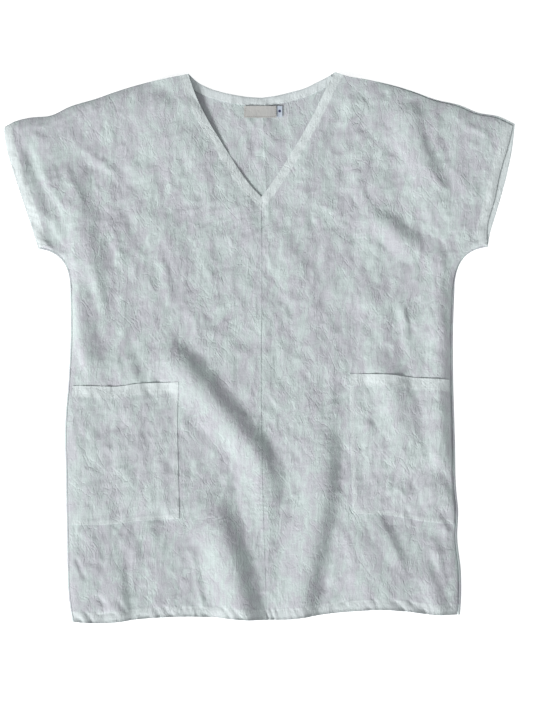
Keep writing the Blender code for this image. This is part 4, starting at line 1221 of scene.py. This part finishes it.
def cloth_material(name, look, dot=False):
    """Plain-woven cloth: patchy tint, slub streaks both ways, and thread relief."""
    material = bpy.data.materials.new(name)
    material.use_nodes = True
    tree = material.node_tree
    add = node_maker(tree)
    shader = tree.nodes["Principled BSDF"]
    place = add("ShaderNodeTexCoord").outputs["Object"]
    bend = add("ShaderNodeTexNoise", [("Vector", place)])
    bend.inputs["Scale"].default_value = 24.0
    bend.inputs["Detail"].default_value = 3.0
    centred = add("ShaderNodeVectorMath", [(0, bend.outputs["Color"])], operation="SUBTRACT",
                  in_1=(0.5, 0.5, 0.5))
    drift = add("ShaderNodeVectorMath", [(0, centred.outputs[0])], operation="MULTIPLY",
                in_1=(0.030, 0.040, 0.0))
    warped = add("ShaderNodeVectorMath", [(0, place), (1, drift.outputs[0])], operation="ADD").outputs[0]
    eased = add("ShaderNodeVectorMath", [(0, drift.outputs[0])], operation="SCALE", in_3=0.15)
    grain = add("ShaderNodeVectorMath", [(0, place), (1, eased.outputs[0])], operation="ADD").outputs[0]
    patches = noise_of(add, warped, (52.0, 27.0, 52.0), 8.0, 0.66)
    share_of_mint = ranged(add, patches, (0.5 - look.contrast, 0.5 + look.contrast), (0.0, 1.0))
    tint = add("ShaderNodeMix", [(0, share_of_mint)], data_type="RGBA", in_6=look.lilac, in_7=look.mint)
    depth = add("ShaderNodeAttribute", attribute_name="layers")
    layered = add("ShaderNodeMix", [(0, depth.outputs["Fac"]), (6, tint.outputs[2])], data_type="RGBA",
                  in_7=look.layered)
    warp_slubs = noise_of(add, grain, (440.0, 26.0, 90.0), 3.0, 0.6)
    weft_slubs = noise_of(add, grain, (34.0, 480.0, 90.0), 3.0, 0.6)
    warp_threads = noise_of(add, place, (1500.0, 170.0, 300.0), 1.0, 0.5)
    weft_threads = noise_of(add, place, (170.0, 1500.0, 300.0), 1.0, 0.5)
    slubs = summed(add, [(warp_slubs, 0.50), (weft_slubs, 0.18), (warp_threads, 0.18), (weft_threads, 0.14)])
    shade = ranged(add, slubs, (0.36, 0.64), (1.0 - look.streak, 1.0 + look.streak))
    colour = add("ShaderNodeVectorMath", [(0, layered.outputs[2]), (1, shade)], operation="MULTIPLY").outputs[0]
    if dot:
        centre = (TAB_DOT[0] - MIDDLE[0], TAB_DOT[1] - MIDDLE[1], 0.0)
        flat = add("ShaderNodeVectorMath", [(0, place)], operation="MULTIPLY", in_1=(1.0, 1.0, 0.0))
        reach = add("ShaderNodeVectorMath", [(0, flat.outputs[0])], operation="DISTANCE", in_1=centre)
        in_dot = ranged(add, reach.outputs["Value"], (TAB_DOT_SIZE, TAB_DOT_SIZE * 0.8), (0.0, 1.0))
        colour = add("ShaderNodeMix", [(0, in_dot), (6, colour)], data_type="RGBA",
                     in_7=TAB_DOT_COLOUR).outputs[2]
    tree.links.new(colour, shader.inputs["Base Color"])
    wrinkles = noise_of(add, warped, (165.0, 72.0, 150.0), 6.0, 0.66)
    from_middle = add("ShaderNodeMath", [(0, wrinkles)], operation="SUBTRACT", in_1=0.5)
    ridges = add("ShaderNodeMath", [(0, from_middle.outputs[0])], operation="ABSOLUTE").outputs[0]
    parts = [(slubs, 1.5), (ridges, -4.0)]
    for row in CREASE_LINES:
        parts.append((crease_lines(add, grain, row), row.height))
    relief = summed(add, parts)
    bump = add("ShaderNodeBump", [("Height", relief)])
    bump.inputs["Strength"].default_value = 1.0
    bump.inputs["Distance"].default_value = look.relief
    tree.links.new(bump.outputs["Normal"], shader.inputs["Normal"])
    tree.links.new(ranged(add, slubs, (0.3, 0.7), (0.95, 0.78)), shader.inputs["Roughness"])
    shader.inputs["Specular IOR Level"].default_value = 0.25
    shader.inputs["Sheen Weight"].default_value = 0.10
    shader.inputs["Sheen Roughness"].default_value = 0.6
    return material


def thread_material(name, colour):
    material = bpy.data.materials.new(name)
    material.use_nodes = True
    tree = material.node_tree
    add = node_maker(tree)
    shader = tree.nodes["Principled BSDF"]
    place = add("ShaderNodeTexCoord").outputs["Object"]
    twist = add("ShaderNodeTexNoise", [("Vector", place)])
    twist.inputs["Scale"].default_value = 900.0
    mix = add("ShaderNodeMapRange", [("Value", twist.outputs["Fac"])])
    mix.inputs["To Min"].default_value = 0.88
    mix.inputs["To Max"].default_value = 1.08
    tint = add("ShaderNodeVectorMath", [(1, mix.outputs["Result"])], operation="MULTIPLY", in_0=colour)
    tree.links.new(tint.outputs[0], shader.inputs["Base Color"])
    shader.inputs["Roughness"].default_value = 0.7
    return material


KEY_TILT = 61.5
KEY_TURN = -42.0
KEY_STRENGTH = 3.80
KEY_SOFTNESS = 20.0
AMBIENT = 0.39
CAMERA_HEIGHT = 3.0
CAMERA_SPOT = (0.01025, -0.01175)
FRAME_HEIGHT = 1.0665
SENSOR = 36.0


def build_light_and_camera():
    scene = bpy.context.scene
    world = bpy.data.worlds.new("studio")
    world.use_nodes = True
    background = world.node_tree.nodes["Background"]
    background.inputs["Color"].default_value = (0.97, 0.985, 1.0, 1.0)
    background.inputs["Strength"].default_value = AMBIENT
    scene.world = world
    lamp = bpy.data.lights.new("key", "SUN")
    lamp.energy = KEY_STRENGTH
    lamp.angle = math.radians(KEY_SOFTNESS)
    key = bpy.data.objects.new("key", lamp)
    key.rotation_euler = (math.radians(KEY_TILT), 0.0, math.radians(KEY_TURN))
    scene.collection.objects.link(key)
    lens = bpy.data.cameras.new("camera")
    lens.sensor_fit = "VERTICAL"
    lens.sensor_height = SENSOR
    lens.lens = SENSOR * CAMERA_HEIGHT / FRAME_HEIGHT
    camera = bpy.data.objects.new("camera", lens)
    camera.location = (CAMERA_SPOT[0], CAMERA_SPOT[1], CAMERA_HEIGHT)
    scene.collection.objects.link(camera)
    scene.camera = camera
    scene.view_settings.view_transform = "Standard"


def build_floor():
    material = bpy.data.materials.new("floor_paint")
    material.use_nodes = True
    shader = material.node_tree.nodes["Principled BSDF"]
    shader.inputs["Base Color"].default_value = (0.93, 0.93, 0.93, 1.0)
    shader.inputs["Roughness"].default_value = 0.9
    shader.inputs["Emission Color"].default_value = (1.0, 1.0, 1.0, 1.0)
    shader.inputs["Emission Strength"].default_value = 0.66
    mesh = bpy.data.meshes.new("floor")
    half = 20.0
    corners = [(-half, -half, -0.0003), (half, -half, -0.0003), (half, half, -0.0003), (-half, half, -0.0003)]
    mesh.from_pydata(corners, [], [(0, 1, 2, 3)])
    mesh.materials.append(material)
    floor = bpy.data.objects.new("floor", mesh)
    bpy.context.scene.collection.objects.link(floor)


build_light_and_camera()
build_floor()
materials = {
    "linen": cloth_material("linen_weave", LOOKS["linen"]),
    "facing_linen": cloth_material("facing_weave", LOOKS["facing_linen"]),
    "label_cloth": cloth_material("label_weave", LOOKS["label_cloth"]),
    "tab_cloth": cloth_material("tab_weave", LOOKS["tab_cloth"], dot=True),
    "thread": thread_material("sewing_thread", (0.66, 0.70, 0.70)),
    "label_thread": thread_material("label_border_thread", (0.25, 0.22, 0.19)),
}

scoop = scoop_line()
for side in ("right", "left"):
    back = build_back(side, materials)
    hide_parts("back_" + side)
    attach(back, "root")
    surface, front, pocket, pocket_runs = build_front(side, materials)
    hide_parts("front_" + side)
    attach(front, "root")
    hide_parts("pocket_" + side)
    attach(pocket, "root")
    sewing = stitches("front_" + side + "_stitches", front_stitch_runs(surface), materials["thread"])
    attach(sewing, "root")
    pocket_sewing = stitches("pocket_" + side + "_stitches", pocket_runs, materials["thread"])
    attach(pocket_sewing, "root")

facing, facing_run = build_facing(scoop, materials)
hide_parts("neck_facing")
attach(facing, "root")
facing_sewing = stitches("facing_stitches", [facing_run], materials["thread"])
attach(facing_sewing, "root")
label, label_run = build_tag("label_cloth", LABEL_CORNER, LABEL_SIZE, scoop, materials["label_cloth"],
                             LABEL_CURL)
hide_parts("label")
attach(label, "root")
label_sewing = stitches("label_stitches", [label_run], materials["label_thread"])
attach(label_sewing, "root")
tab, _ = build_tag("size_tab_cloth", TAB_CORNER, TAB_SIZE, scoop, materials["tab_cloth"], LABEL_CURL * 0.5)
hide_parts("size_tab")
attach(tab, "root")
